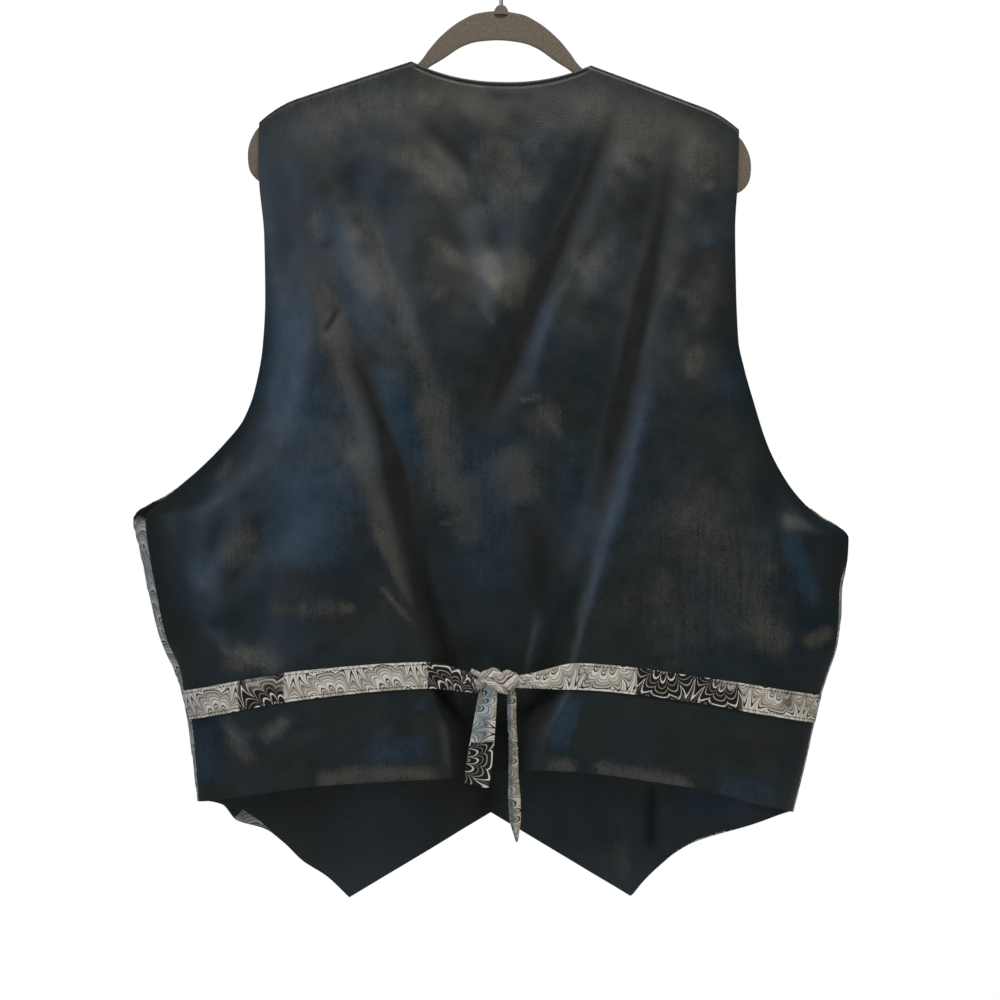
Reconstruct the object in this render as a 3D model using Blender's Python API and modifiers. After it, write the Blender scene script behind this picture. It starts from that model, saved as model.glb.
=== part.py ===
# Formal vest on a flocked hanger, with a tied half belt across its back.
# +Z is up. The back of the vest faces -Y, its fronts face +Y, and the wearer's left is at -X.
# The origin is the point of the hook that bears on a rail.
# Sizes and tables are in millimetres, and MM turns them into metres as points are placed.

import math
from collections import namedtuple

import bmesh
import bpy
import numpy as np

MM = 0.001

# Cloth walls and the gaps between pieces
BACK_WALL = 1.5
FRONT_WALL = 1.2
LINING_WALL = 1.0
BELT_WALL = 2.0
SEAM_GAP = 0.3
HANGER_GAP = 0.4
LAP_GAP = 0.6

# Shoulder line, which lies along the hanger's arms
NECK_HALF = 80.0
NECK_Z = -110.0
SHOULDER_SLOPE = 0.351
KNEE_HALF = 180.0
TIP_LEFT = -214.0
TIP_RIGHT = 210.5
TIP_DROOP = 9.8
HANGER_TILT = 0.0227
NECKLINE_DROP = 17.0
NECKLINE_POWER = 2.2
NECK_TURN = 1.5

# Hanger and hook
HANGER_THICK = 5.0
HANGER_BEVEL = 0.8
HANGER_CURVE_STEPS = 2
HOOK_WIRE_RADIUS = 1.75
HOOK_RADIUS = 20.0
HOOK_STEM_TOP = -45.0
HOOK_STEPS = 10
HOOK_TIP_STEPS = 3
NUB_TOP = -58.2
ARM_STATIONS = (97.0, 125.0, 155.0, 180.0, 195.0, 207.0)
ARM_END_DROP = 2.0
ARM_END_START = 165.0

# The shoulder of each panel bends round the hanger's edge with these radii
RIDGE_BACK = HANGER_THICK / 2 + HANGER_GAP + BACK_WALL
RIDGE_FRONT = HANGER_THICK / 2 + HANGER_GAP + LINING_WALL + SEAM_GAP + FRONT_WALL
ARM_DROP = LINING_WALL + SEAM_GAP + FRONT_WALL + HANGER_GAP + HANGER_BEVEL

# Form of the body
SIDE_ROUND = 70.0
HANGER_ZONE = 110.0
HANGER_FADE = 80.0
PLEAT_WALL = 18.0
EDGE_FADE = 30.0
TOP_FADE = 90.0
PROBE = 0.2
SHARP_ANGLE = 50.0
MERGE_DISTANCE = 0.01

# Fronts
FRONT_EDGE_LEFT = 8.0
FRONT_EDGE_RIGHT = -11.0
V_BOTTOM = -410.0
V_BOW = 6.0
ARMHOLE_SCOOP = 18.0
ARMHOLE_SCOOP_POWER = 1.5
ARMHOLE_TURN = 40.0
LAP_START = -75.0
LAP_WIDTH = 40.0
LAP_CLEAR = 25.0
LINING_RISE = 1.5
LINING_SLACK = 3.0
LINING_SLACK_REACH = 45.0
TURN_UP = 11.0
TURN_UP_CENTRE = -222.0
TURN_UP_FLAT = 8.0
TURN_UP_HALF = 16.0

# Belt knot and free ends
KNOT_CENTRE = (-2.2, -655.0)
KNOT_HALF = (17.0, 8.0, 9.0)
KNOT_SEGMENTS = 20
KNOT_RINGS = 12
KNOT_GROOVE = 0.09
GROOVE_SLANT = 0.4
GROOVE_HALF = 0.25
STRAP_END_HALF = 4.0
STRAP_FREE_COLUMNS = 5
KNOT_GAP = 0.35
TAIL_STEPS = 9
FOLDED_WALL = 4.0

# Buttons
BUTTON_COUNT = 5
BUTTON_TOP_Z = -428.0
BUTTON_PITCH = 80.0
BUTTON_GAP = 0.5
BUTTON_SEGMENTS = 20

# Sides of the back panel, armhole and then side seam, and the widest reach of the body
SideRow = namedtuple("SideRow", "z edge reach")
LEFT_SIDE = (
    SideRow(-160, -214.0, -226.0),
    SideRow(-207, -214.0, -226.0),
    SideRow(-264, -209.0, -221.0),
    SideRow(-320, -208.0, -220.0),
    SideRow(-360, -210.0, -222.0),
    SideRow(-400, -217.0, -230.0),
    SideRow(-426, -227.0, -240.0),
    SideRow(-446, -243.0, -253.0),
    SideRow(-469, -266.0, -273.0),
    SideRow(-491, -292.0, -297.0),
    SideRow(-512, -313.5, -326.0),
    SideRow(-544, -310.0, -319.5),
    SideRow(-573, -304.5, -313.5),
    SideRow(-616, -295.0, -303.5),
    SideRow(-649, -281.5, -289.0),
    SideRow(-665, -279.5, -283.5),
    SideRow(-690, -272.5, -278.0),
    SideRow(-712, -270.0, -275.0),
    SideRow(-762, -266.5, -269.0),
)
RIGHT_SIDE = (
    SideRow(-165, 210.5, 222.0),
    SideRow(-214, 209.0, 221.0),
    SideRow(-258, 206.5, 218.5),
    SideRow(-302, 207.0, 219.0),
    SideRow(-355, 209.0, 221.0),
    SideRow(-382, 214.5, 227.0),
    SideRow(-407, 221.5, 234.0),
    SideRow(-449, 235.0, 246.0),
    SideRow(-483, 253.5, 262.0),
    SideRow(-508, 276.0, 282.0),
    SideRow(-530, 305.5, 308.0),
    SideRow(-548, 304.5, 307.0),
    SideRow(-575, 298.5, 302.0),
    SideRow(-602, 297.5, 301.0),
    SideRow(-625, 295.0, 297.5),
    SideRow(-651, 286.5, 289.0),
    SideRow(-670, 280.5, 283.0),
    SideRow(-695, 274.5, 277.0),
    SideRow(-731, 266.5, 269.0),
    SideRow(-771, 256.5, 259.0),
)

# How far the back and the fronts stand off the hanger's plane, by the drop below the shoulder line
DepthRow = namedtuple("DepthRow", "drop back front")
DEPTHS = (
    DepthRow(0, 0.0, 0.0),
    DepthRow(10, 0.5, 0.5),
    DepthRow(50, 5.0, 5.0),
    DepthRow(140, 14.0, 13.0),
    DepthRow(240, 25.0, 23.0),
    DepthRow(340, 32.0, 31.0),
    DepthRow(430, 36.0, 36.0),
    DepthRow(540, 39.0, 39.0),
    DepthRow(640, 38.0, 39.0),
    DepthRow(745, 35.0, 37.0),
)

# The two pleat edges that the tied belt draws together, and how far the middle sinks between them
PleatRow = namedtuple("PleatRow", "z left right depth")
PLEATS = (
    PleatRow(-105, -80.0, 80.0, 0.0),
    PleatRow(-235, -85.0, 83.0, 0.0),
    PleatRow(-357, -93.0, 96.0, 1.0),
    PleatRow(-435, -99.0, 114.0, 6.0),
    PleatRow(-483, -98.0, 115.0, 11.0),
    PleatRow(-537, -86.0, 98.0, 19.0),
    PleatRow(-578, -78.0, 86.0, 26.0),
    PleatRow(-610, -67.0, 75.0, 31.0),
    PleatRow(-637, -61.0, 68.0, 34.0),
    PleatRow(-662, -62.0, 64.0, 35.0),
    PleatRow(-707, -47.0, 40.0, 34.0),
    PleatRow(-740, -45.0, 33.0, 32.0),
)

# Heights of the level lines across the back, at stations counted in zones from side to side:
# 0 is the left edge, 1 and 2 are the pleat edges and 3 is the right edge
LineRow = namedtuple("LineRow", "station underarm belt_top belt_bottom hem")
LINES = (
    LineRow(0.0, -512.0, -664.0, -689.0, -762.0),
    LineRow(0.5, -516.0, -645.0, -670.0, -746.0),
    LineRow(1.0, -519.0, -637.5, -660.5, -739.5),
    LineRow(1.5, -521.0, -637.0, -659.5, -735.0),
    LineRow(2.0, -523.0, -638.5, -661.5, -732.5),
    LineRow(2.5, -526.0, -651.0, -673.5, -744.5),
    LineRow(3.0, -530.0, -668.0, -692.0, -771.0),
)

# Folds: a bowed spine from its start to its end, with a width and a height towards the outside
FoldRow = namedtuple("FoldRow", "x0 z0 x1 z1 bow width height")
BACK_FOLDS = (
    FoldRow(96, -147, -16, -452, -4, 20, -8.0),
    FoldRow(148, -155, 67, -532, 6, 22, -7.0),
    FoldRow(-68, -150, 5, -337, 18, 20, -5.0),
    FoldRow(-142, -190, -60, -430, 0, 24, -6.0),
    FoldRow(-156, -353, -100, -480, -5, 18, -6.0),
    FoldRow(234, -464, 288, -607, 0, 20, -7.0),
    FoldRow(35, -470, 27, -640, 0, 20, -5.0),
    FoldRow(-180, -420, -138, -600, 0, 34, 5.0),
    FoldRow(-240, -510, -180, -640, 0, 24, -5.0),
    FoldRow(190, -480, 130, -640, 0, 34, 5.0),
    FoldRow(-170, -690, -120, -760, 0, 22, -4.0),
    FoldRow(150, -690, 190, -770, 0, 22, -4.0),
)
FRONT_FOLDS = (
    FoldRow(-150, -330, -110, -820, 8, 30, -6.0),
    FoldRow(-235, -480, -190, -760, 0, 26, 5.0),
    FoldRow(-70, -470, -60, -760, 0, 24, -4.0),
    FoldRow(150, -340, 160, -790, -8, 28, -7.0),
    FoldRow(235, -500, 215, -750, 0, 26, 5.0),
    FoldRow(70, -480, 75, -760, 0, 24, -4.0),
)
FOLD_STEPS = 12
FOLD_END = 0.3

# Lower edges of the fronts from the side seam to the point, and their ends at the front edge
HemRow = namedtuple("HemRow", "x z")
HEM_LEFT = (
    HemRow(-269.0, -763.0),
    HemRow(-247.0, -769.5),
    HemRow(-235.0, -784.0),
    HemRow(-209.5, -792.5),
    HemRow(-192.5, -805.0),
    HemRow(-176.5, -820.5),
    HemRow(-155.0, -834.5),
    HemRow(-135.0, -853.5),
)
HEM_LEFT_END = -766.5
HEM_RIGHT = (
    HemRow(259.0, -772.0),
    HemRow(223.0, -788.0),
    HemRow(172.0, -804.0),
    HemRow(155.0, -813.5),
    HemRow(139.0, -826.5),
    HemRow(125.5, -840.0),
    HemRow(115.5, -852.5),
)
HEM_RIGHT_END = -775.5

# Half outline of the hanger's arch and of the lower side of its arms
OutlineRow = namedtuple("OutlineRow", "half z")
ARCH_TOP = (
    OutlineRow(17.7, -65.7),
    OutlineRow(31.0, -71.1),
    OutlineRow(50.4, -85.7),
    OutlineRow(62.5, -99.5),
    OutlineRow(69.0, -108.5),
    OutlineRow(75.0, -114.0),
    OutlineRow(82.0, -116.8),
)
ARM_END = (
    OutlineRow(216.5, -176.0),
    OutlineRow(222.6, -199.0),
    OutlineRow(216.5, -216.0),
    OutlineRow(203.0, -221.0),
)
ARM_UNDER = (
    OutlineRow(180.0, -211.0),
    OutlineRow(150.0, -186.5),
    OutlineRow(124.0, -166.0),
    OutlineRow(97.0, -146.0),
    OutlineRow(79.0, -130.0),
    OutlineRow(64.5, -116.5),
    OutlineRow(50.4, -107.5),
    OutlineRow(31.0, -95.0),
    OutlineRow(16.0, -90.8),
)
NUB_HALF_TOP = 4.0
NUB_HALF_BASE = 5.4
NUB_BASE = -64.6

# Free ends of the belt: centre line, half width and the height of the slanted edge
TailRow = namedtuple("TailRow", "x z half slant")
TAIL_LEFT = (
    TailRow(-9.6, -663.5, 5.2, -1.4),
    TailRow(-12.2, -675.0, 8.6, 0.0),
    TailRow(-15.5, -705.0, 9.8, 0.0),
    TailRow(-21.5, -745.5, 10.9, -2.6),
)
TAIL_RIGHT = (
    TailRow(8.0, -663.5, 3.6, 1.4),
    TailRow(9.4, -690.0, 3.9, 0.0),
    TailRow(10.6, -735.0, 4.2, 0.0),
    TailRow(12.0, -772.0, 5.0, 0.0),
    TailRow(13.6, -794.0, 0.8, 0.0),
)

# Column and row places of the grids
LEFT_COLUMNS = (0.0, 0.02, 0.07, 0.16, 0.27, 0.38, 0.49, 0.60, 0.70, 0.80, 0.90)
MIDDLE_COLUMNS = (0.0, 0.02, 0.06, 0.13, 0.22, 0.32, 0.42, 0.50, 0.58, 0.68, 0.78, 0.87, 0.94, 0.98)
RIGHT_COLUMNS = (0.0, 0.10, 0.20, 0.30, 0.40, 0.51, 0.62, 0.73, 0.84, 0.93, 0.98, 1.0)
SIDE_COLUMNS = (0.0, 0.015, 0.035, 0.07, 0.14, 0.27, 0.42, 0.57, 0.72, 0.86)
POINT_TO_EDGE_COLUMNS = 6
BACK_RIDGE_ROWS = (0.0, 0.0036, 0.0125)
BACK_ROW_COUNTS = (17, 6, 2, 5)
FRONT_RIDGE_ROWS = (0.0, 0.0037, 0.013)
FRONT_UPPER_ROWS = 17
FRONT_ROW_POWER = 1.9


def ease(value):
    value = np.clip(value, 0.0, 1.0)
    return value * value * (3.0 - 2.0 * value)


def blend(start, end, part):
    return start + (end - start) * part


# A smooth curve through one column of a table, read along another, that never overshoots its rows
def table_curve(table, key, column):
    rows = sorted(table, key=lambda row: getattr(row, key))
    keys = np.array([float(getattr(row, key)) for row in rows])
    values = np.array([float(getattr(row, column)) for row in rows])
    steps = np.diff(values) / np.diff(keys)
    product = steps[:-1] * steps[1:]
    total = np.where(product > 0, steps[:-1] + steps[1:], 1.0)
    inner = np.where(product > 0, 2.0 * product / total, 0.0)
    slopes = np.concatenate(([steps[0]], inner, [steps[-1]]))

    def at(place):
        place = np.clip(place, keys[0], keys[-1])
        index = np.clip(np.searchsorted(keys, place) - 1, 0, len(keys) - 2)
        span = keys[index + 1] - keys[index]
        part = (place - keys[index]) / span
        bend_start = part * (1.0 - part) ** 2 * span * slopes[index]
        bend_end = part ** 2 * (1.0 - part) * span * slopes[index + 1]
        return blend(values[index], values[index + 1], ease(part)) + bend_start - bend_end

    return at


left_edge = table_curve(LEFT_SIDE, "z", "edge")
left_reach = table_curve(LEFT_SIDE, "z", "reach")
right_edge = table_curve(RIGHT_SIDE, "z", "edge")
right_reach = table_curve(RIGHT_SIDE, "z", "reach")
pleat_left = table_curve(PLEATS, "z", "left")
pleat_right = table_curve(PLEATS, "z", "right")
pleat_depth = table_curve(PLEATS, "z", "depth")
back_depth_at = table_curve(DEPTHS, "drop", "back")
front_depth_at = table_curve(DEPTHS, "drop", "front")
line_curves = [table_curve(LINES, "station", name) for name in LineRow._fields[1:]]


# Shoulder line, straight from the neck to a knee and then drooping to the tip, level across the neck
def ridge_z(x):
    half = np.abs(x)
    slope = SHOULDER_SLOPE * np.maximum(half - NECK_HALF, 0.0)
    droop = TIP_DROOP * (np.maximum(half - KNEE_HALF, 0.0) / (-TIP_LEFT - KNEE_HALF)) ** 2
    return NECK_Z - slope - droop - HANGER_TILT * x


# Height of all folds of a table at each place
def fold_relief(table, x, z):
    relief = np.zeros_like(x)
    parts = np.linspace(0.0, 1.0, FOLD_STEPS + 1)
    for fold in table:
        run_x = fold.x1 - fold.x0
        run_z = fold.z1 - fold.z0
        length = math.hypot(run_x, run_z)
        sideways = 4.0 * fold.bow * parts * (1.0 - parts) / length
        spine_x = fold.x0 + run_x * parts - run_z * sideways
        spine_z = fold.z0 + run_z * parts + run_x * sideways
        nearest = np.full_like(x, np.inf)
        along = np.zeros_like(x)
        for step in range(FOLD_STEPS):
            leg_x = spine_x[step + 1] - spine_x[step]
            leg_z = spine_z[step + 1] - spine_z[step]
            part = (x - spine_x[step]) * leg_x + (z - spine_z[step]) * leg_z
            part = np.clip(part / (leg_x ** 2 + leg_z ** 2), 0.0, 1.0)
            gap = np.hypot(x - spine_x[step] - part * leg_x, z - spine_z[step] - part * leg_z)
            closer = gap < nearest
            nearest = np.where(closer, gap, nearest)
            along = np.where(closer, (step + part) / FOLD_STEPS, along)
        ends = ease(along / FOLD_END) * ease((1.0 - along) / FOLD_END)
        relief += fold.height * ends * np.exp(-(nearest / fold.width) ** 2)
    return relief


# Depth of a panel off the hanger's plane before folds: a rounded shoulder, a body and rounded sides
def plain_depth(x, z, ridge, depth_at):
    drop = np.maximum(ridge_z(x) - z, 0.0)
    inside = np.minimum(x - left_reach(z), right_reach(z) - x)
    side = np.clip(1.0 - inside / SIDE_ROUND, 0.0, 1.0)
    rounding = np.sqrt(1.0 - side ** 2)
    past_neck = NECK_TURN * np.maximum(NECK_HALF - np.abs(x), 0.0)
    turn = 1.0 - np.clip((drop + past_neck) / ridge, 0.0, 1.0)
    shoulder = ridge * np.sqrt(1.0 - turn ** 2)
    shoulder = shoulder * blend(1.0, rounding, ease((drop - HANGER_ZONE) / HANGER_FADE))
    return shoulder + depth_at(drop) * rounding


def edge_fade(x, z):
    side = ease((x - left_edge(z)) / EDGE_FADE) * ease((right_edge(z) - x) / EDGE_FADE)
    return side * ease((ridge_z(x) - z) / TOP_FADE)


def back_depth(x, z):
    sunk = ease((x - pleat_left(z)) / PLEAT_WALL) * ease((pleat_right(z) - x) / PLEAT_WALL)
    folds = fold_relief(BACK_FOLDS, x, z) * edge_fade(x, z)
    return plain_depth(x, z, RIDGE_BACK, back_depth_at) + folds - pleat_depth(z) * sunk


def front_depth(x, z):
    clear_of_lap = ease((np.abs(x) - LAP_CLEAR) / EDGE_FADE)
    folds = fold_relief(FRONT_FOLDS, x, z) * edge_fade(x, z) * clear_of_lap
    return plain_depth(x, z, RIDGE_FRONT, front_depth_at) + folds


# The left front laps over the right one, so it is lifted near its edge
def left_front_depth(x, z):
    lift = FRONT_WALL + LINING_WALL + SEAM_GAP + LAP_GAP
    return front_depth(x, z) + lift * ease((x - LAP_START) / LAP_WIDTH)


# Points on a panel and its outward normals, where facing is -1 for the back and +1 for the fronts
def surface(x, z, depth, facing):
    y = facing * np.maximum(depth(x, z), SEAM_GAP / 2)
    slope_x = (depth(x + PROBE, z) - depth(x - PROBE, z)) / (2.0 * PROBE)
    slope_z = (depth(x, z + PROBE) - depth(x, z - PROBE)) / (2.0 * PROBE)
    top = ridge_z(x) - z < PROBE
    slope_z = np.where(top, -1.0 / PROBE ** 2, slope_z)
    normals = np.stack([-slope_x, np.full_like(x, facing), -slope_z], axis=-1)
    normals /= np.linalg.norm(normals, axis=-1, keepdims=True)
    return np.stack([x, y, z], axis=-1), normals


# Half the seam gap, taken along the slope of the panel's side
def seam_inset(edge_x, z):
    rise = back_depth(edge_x + PROBE, z) - back_depth(edge_x - PROBE, z)
    return SEAM_GAP / 2 / np.hypot(1.0, rise / (2.0 * PROBE))


# Rows of the back's grid, counted in level lines: 0 is the top line, 1 the underarm and 4 the hem
def back_rows():
    rows = list(BACK_RIDGE_ROWS)
    for line, count in enumerate(BACK_ROW_COUNTS):
        start = rows[-1] if line == 0 else float(line)
        rows += [blend(start, line + 1.0, (step + 1) / count) for step in range(count)]
    return np.array(rows)


# Rows of a front's grid: 0 is the shoulder, 0.5 the underarm and 1 the hem.
# Below the underarm they meet the side seam at the heights of the back's own rows.
def front_rows(line_heights):
    steps = np.linspace(0.0, 1.0, FRONT_UPPER_ROWS + 1)[1:]
    upper = 1.0 - (1.0 - FRONT_RIDGE_ROWS[-1]) * (1.0 - steps) ** FRONT_ROW_POWER
    lines = np.arange(1.0, 1.0 + len(line_heights))
    shared = np.interp([row for row in back_rows() if row > 1.0], lines, line_heights)
    lower = (line_heights[0] - shared) / (line_heights[0] - line_heights[-1])
    return np.concatenate([FRONT_RIDGE_ROWS, upper, 1.0 + lower]) / 2


# Height of the top line of the back: the shoulders, and between them the neckline
def top_line(across):
    corners_x = (TIP_LEFT, -NECK_HALF, NECK_HALF, TIP_RIGHT)
    x = np.interp(across, (0.0, 1.0, 2.0, 3.0), corners_x)
    middle = np.clip(np.abs(2.0 * (across - 1.5)), 0.0, 1.0)
    return ridge_z(x) - NECKLINE_DROP * (1.0 - middle ** NECKLINE_POWER)


# Places of the back panel's grid, from its zones across and its level lines down
def back_places():
    columns = [*LEFT_COLUMNS, *[1.0 + c for c in MIDDLE_COLUMNS], *[2.0 + c for c in RIGHT_COLUMNS]]
    down, across = np.meshgrid(back_rows(), columns, indexing="ij")
    heights = np.stack([top_line(across)] + [curve(across) for curve in line_curves])
    line = np.minimum(down.astype(int), len(heights) - 2)
    upper = np.take_along_axis(heights, line[None], axis=0)[0]
    lower = np.take_along_axis(heights, line[None] + 1, axis=0)[0]
    z = blend(upper, lower, down - line)
    left = left_edge(z) + seam_inset(left_edge(z), z)
    right = right_edge(z) - seam_inset(right_edge(z), z)
    bounds = np.stack([left, pleat_left(z), pleat_right(z), right])
    zone = np.minimum(across.astype(int), 2)
    start = np.take_along_axis(bounds, zone[None], axis=0)[0]
    end = np.take_along_axis(bounds, zone[None] + 1, axis=0)[0]
    return blend(start, end, across - zone), z


# Places of one front's grid: a patch between its shoulder, armhole and side, front edge and hem.
# The first coordinate is the distance in from the widest reach, below zero where the cloth has
# turned round the side to meet the back.
def front_places(side):
    left = side == "left"
    sign = 1.0 if left else -1.0
    edge = left_edge if left else right_edge
    reach = left_reach if left else right_reach
    tip_x = TIP_LEFT if left else TIP_RIGHT
    neck_x = -NECK_HALF if left else NECK_HALF
    front_x = FRONT_EDGE_LEFT if left else FRONT_EDGE_RIGHT
    hem_rows = HEM_LEFT if left else HEM_RIGHT
    hem_end = HEM_LEFT_END if left else HEM_RIGHT_END
    line_heights = (LINES[0] if left else LINES[-1])[1:]
    under_z = line_heights[0]
    side_hem_z = line_heights[-1]
    point = hem_rows[-1]
    hem_curve = table_curve(hem_rows, "x", "z")

    def hem_z(x):
        toward_front = (x - point.x) / (front_x - point.x)
        return np.where(toward_front > 0, blend(point.z, hem_end, toward_front), hem_curve(x))

    def side_in(z):
        inset = seam_inset(edge(z), z)
        turn = 1.0 - 2.0 * ease((under_z + ARMHOLE_TURN - z) / ARMHOLE_TURN)
        turn = turn * np.abs(turn)
        fall = np.clip((ridge_z(tip_x) - z) / (ridge_z(tip_x) - under_z), 0.0, 1.0)
        scoop = ARMHOLE_SCOOP * np.sin(math.pi * fall) ** ARMHOLE_SCOOP_POWER
        return (np.abs(edge(z) - reach(z)) - inset) * turn + scoop

    side_x = hem_rows[0].x
    point_part = (point.x - side_x) / (front_x - side_x)
    columns = [point_part * part for part in SIDE_COLUMNS]
    columns += list(np.linspace(point_part, 1.0, POINT_TO_EDGE_COLUMNS))
    down, across = np.meshgrid(front_rows(line_heights), columns, indexing="ij")
    upper = np.clip(2.0 * down, 0.0, 1.0)
    lower = np.clip(2.0 * down - 1.0, 0.0, 1.0)

    shoulder_x = blend(tip_x, neck_x, across)
    shoulder_z = ridge_z(shoulder_x)
    shoulder_in = (shoulder_x - reach(shoulder_z)) * sign
    side_z = blend(blend(ridge_z(tip_x), under_z, upper), side_hem_z, lower)
    side_inward = side_in(side_z)
    front_line_x = blend(neck_x, front_x, upper) + sign * V_BOW * np.sin(math.pi * upper)
    front_line_z = blend(blend(ridge_z(neck_x), V_BOTTOM, upper), hem_end, lower)
    front_in = (front_line_x - reach(front_line_z)) * sign
    hem_start = side_in(np.array(side_hem_z))
    hem_stop = (front_x - reach(hem_end)) * sign
    hem_in = blend(hem_start, hem_stop, across)
    hem_line_z = hem_z(blend(side_x, front_x, across))

    def patch(top, bottom, start, end):
        top_corners = blend(top[0, 0], top[0, -1], across)
        bottom_corners = blend(bottom[-1, 0], bottom[-1, -1], across)
        corners = blend(top_corners, bottom_corners, down)
        return blend(top, bottom, down) + blend(start, end, across) - corners

    inward = patch(shoulder_in, hem_in, side_inward, front_in)
    z = patch(shoulder_z, hem_line_z, side_z, front_line_z)
    return reach(z) + sign * np.abs(inward), z, inward < 0


# Normals of a grid of points: the mean of the normals of the squares around each point
def grid_normals(points):
    across = points[1:, 1:] - points[:-1, :-1]
    down = points[1:, :-1] - points[:-1, 1:]
    squares = np.cross(across, down)
    squares /= np.linalg.norm(squares, axis=-1, keepdims=True)
    normals = np.zeros_like(points)
    for i in (0, 1):
        for j in (0, 1):
            normals[i:len(points) - 1 + i, j:points.shape[1] - 1 + j] += squares
    return normals / np.linalg.norm(normals, axis=-1, keepdims=True)


# Points and normals of a front. Where it meets the back, along the shoulder and the side seam,
# its normals are those of the true form, and elsewhere those of its grid.
def front_surface(side):
    x, z, turned = front_places(side)
    depth = left_front_depth if side == "left" else front_depth
    points, normals = surface(x, z, depth, 1.0)
    back_points, back_normals = surface(x, z, back_depth, -1.0)
    turned = turned[..., None]
    points = np.where(turned, back_points, points)
    normals = np.where(turned, back_normals, normals)
    facing = 1.0 if side == "left" else -1.0
    upper_rows = slice(len(FRONT_RIDGE_ROWS), len(FRONT_RIDGE_ROWS) + FRONT_UPPER_ROWS - 1)
    inner_normals = facing * grid_normals(points)
    normals[upper_rows, 0] = inner_normals[upper_rows, 0]
    normals[len(FRONT_RIDGE_ROWS):, 1:] = inner_normals[len(FRONT_RIDGE_ROWS):, 1:]
    return points, normals


def new_material(name, colour, roughness, metallic=0.0):
    material = bpy.data.materials.new(name)
    material.use_nodes = True
    shader = material.node_tree.nodes["Principled BSDF"]
    shader.inputs["Base Color"].default_value = (*colour, 1.0)
    shader.inputs["Roughness"].default_value = roughness
    shader.inputs["Metallic"].default_value = metallic
    return material


def add_object(name, data, material):
    part = bpy.data.objects.new(name, data)
    data.materials.append(material)
    collection.objects.link(part)
    return part


# A wall lofted between an outer and an inner layer of points on the same grid
def cloth_wall(name, outer, inner, material):
    rows, columns = outer.shape[:2]
    shell = bmesh.new()
    front = [[shell.verts.new(point * MM) for point in row] for row in outer]
    rear = [[shell.verts.new(point * MM) for point in row] for row in inner]
    for i in range(rows - 1):
        for j in range(columns - 1):
            corners = ((i, j), (i, j + 1), (i + 1, j + 1), (i + 1, j))
            shell.faces.new([front[a][b] for a, b in corners])
            shell.faces.new([rear[a][b] for a, b in corners])
    border = [(0, j) for j in range(columns)]
    border += [(i, columns - 1) for i in range(1, rows)]
    border += [(rows - 1, j) for j in range(columns - 2, -1, -1)]
    border += [(i, 0) for i in range(rows - 2, 0, -1)]
    for here, after in zip(border, border[1:] + border[:1]):
        edge = (front[here[0]][here[1]], front[after[0]][after[1]])
        shell.faces.new((*edge, rear[after[0]][after[1]], rear[here[0]][here[1]]))
    bmesh.ops.triangulate(shell, faces=shell.faces, quad_method="FIXED")
    bmesh.ops.recalc_face_normals(shell, faces=shell.faces)
    mesh = bpy.data.meshes.new(name)
    shell.to_mesh(mesh)
    shell.free()
    mesh.shade_smooth()
    mesh.set_sharp_from_angle(angle=math.radians(SHARP_ANGLE))
    return add_object(name, mesh, material)


def make_back():
    points, normals = surface(*back_places(), back_depth, -1.0)
    cloth_wall("back_panel", points, points - normals * BACK_WALL, satin)
    return points, normals


# Each front is a printed shell with a lining inside it, slack at the underarm and short of the hem
def make_front(side):
    points, normals = front_surface(side)
    cloth_wall("front_" + side, points, points - normals * FRONT_WALL, print_cloth)
    shown = np.full(points.shape[1], LINING_RISE)
    if side == "left":
        from_corner = np.abs(points[-1, :, 0] - TURN_UP_CENTRE) - TURN_UP_FLAT
        shown += TURN_UP * ease(1.0 - from_corner / TURN_UP_HALF)
    last_step = np.linalg.norm(points[-2] - points[-1], axis=-1)
    part = (shown / last_step)[:, None]
    points[-1] = blend(points[-1], points[-2], part)
    normals[-1] = blend(normals[-1], normals[-2], part)
    under_row = len(FRONT_RIDGE_ROWS) + FRONT_UPPER_ROWS - 1
    from_underarm = np.linalg.norm(points - points[under_row, 0], axis=-1, keepdims=True)
    slack = LINING_SLACK * (1.0 - ease(from_underarm / LINING_SLACK_REACH))
    outer = points - normals * (FRONT_WALL + SEAM_GAP + slack)
    cloth_wall("lining_" + side, outer, outer - normals * LINING_WALL, lining_satin)


# A strap is the belt's band of the back panel moved out, then a free stretch that narrows to the knot
def make_strap(side, back_points, back_normals, knot_y):
    first_row = len(BACK_RIDGE_ROWS) - 1 + sum(BACK_ROW_COUNTS[:2])
    band = slice(first_row, first_row + BACK_ROW_COUNTS[2] + 1)
    pleat_left_column = len(LEFT_COLUMNS)
    pleat_right_column = pleat_left_column + len(MIDDLE_COLUMNS)
    left = side == "left"
    columns = slice(0, pleat_left_column + 1) if left else slice(pleat_right_column, None)
    points = back_points[band, columns]
    normals = back_normals[band, columns]
    if not left:
        points = points[:, ::-1]
        normals = normals[:, ::-1]
    lower = points + normals * SEAM_GAP
    upper = points + normals * (SEAM_GAP + BELT_WALL)

    heights = np.linspace(STRAP_END_HALF, -STRAP_END_HALF, lower.shape[0])
    outward = KNOT_HALF[0] + KNOT_GAP
    end_x = np.full_like(heights, KNOT_CENTRE[0] + (-outward if left else outward))
    end_y = np.full_like(heights, knot_y + BELT_WALL / 2)
    end = np.stack([end_x, end_y, KNOT_CENTRE[1] + heights], axis=-1)
    wall = np.array([0.0, -BELT_WALL, 0.0])
    for step in range(1, STRAP_FREE_COLUMNS + 1):
        part = step / STRAP_FREE_COLUMNS
        narrow = np.array([part, part, ease(part)])
        lower = np.append(lower, blend(lower[:, -step], end, narrow)[:, None], axis=1)
        upper = np.append(upper, blend(upper[:, -step], end + wall, narrow)[:, None], axis=1)
    cloth_wall("belt_" + side, upper, lower, print_cloth)


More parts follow.
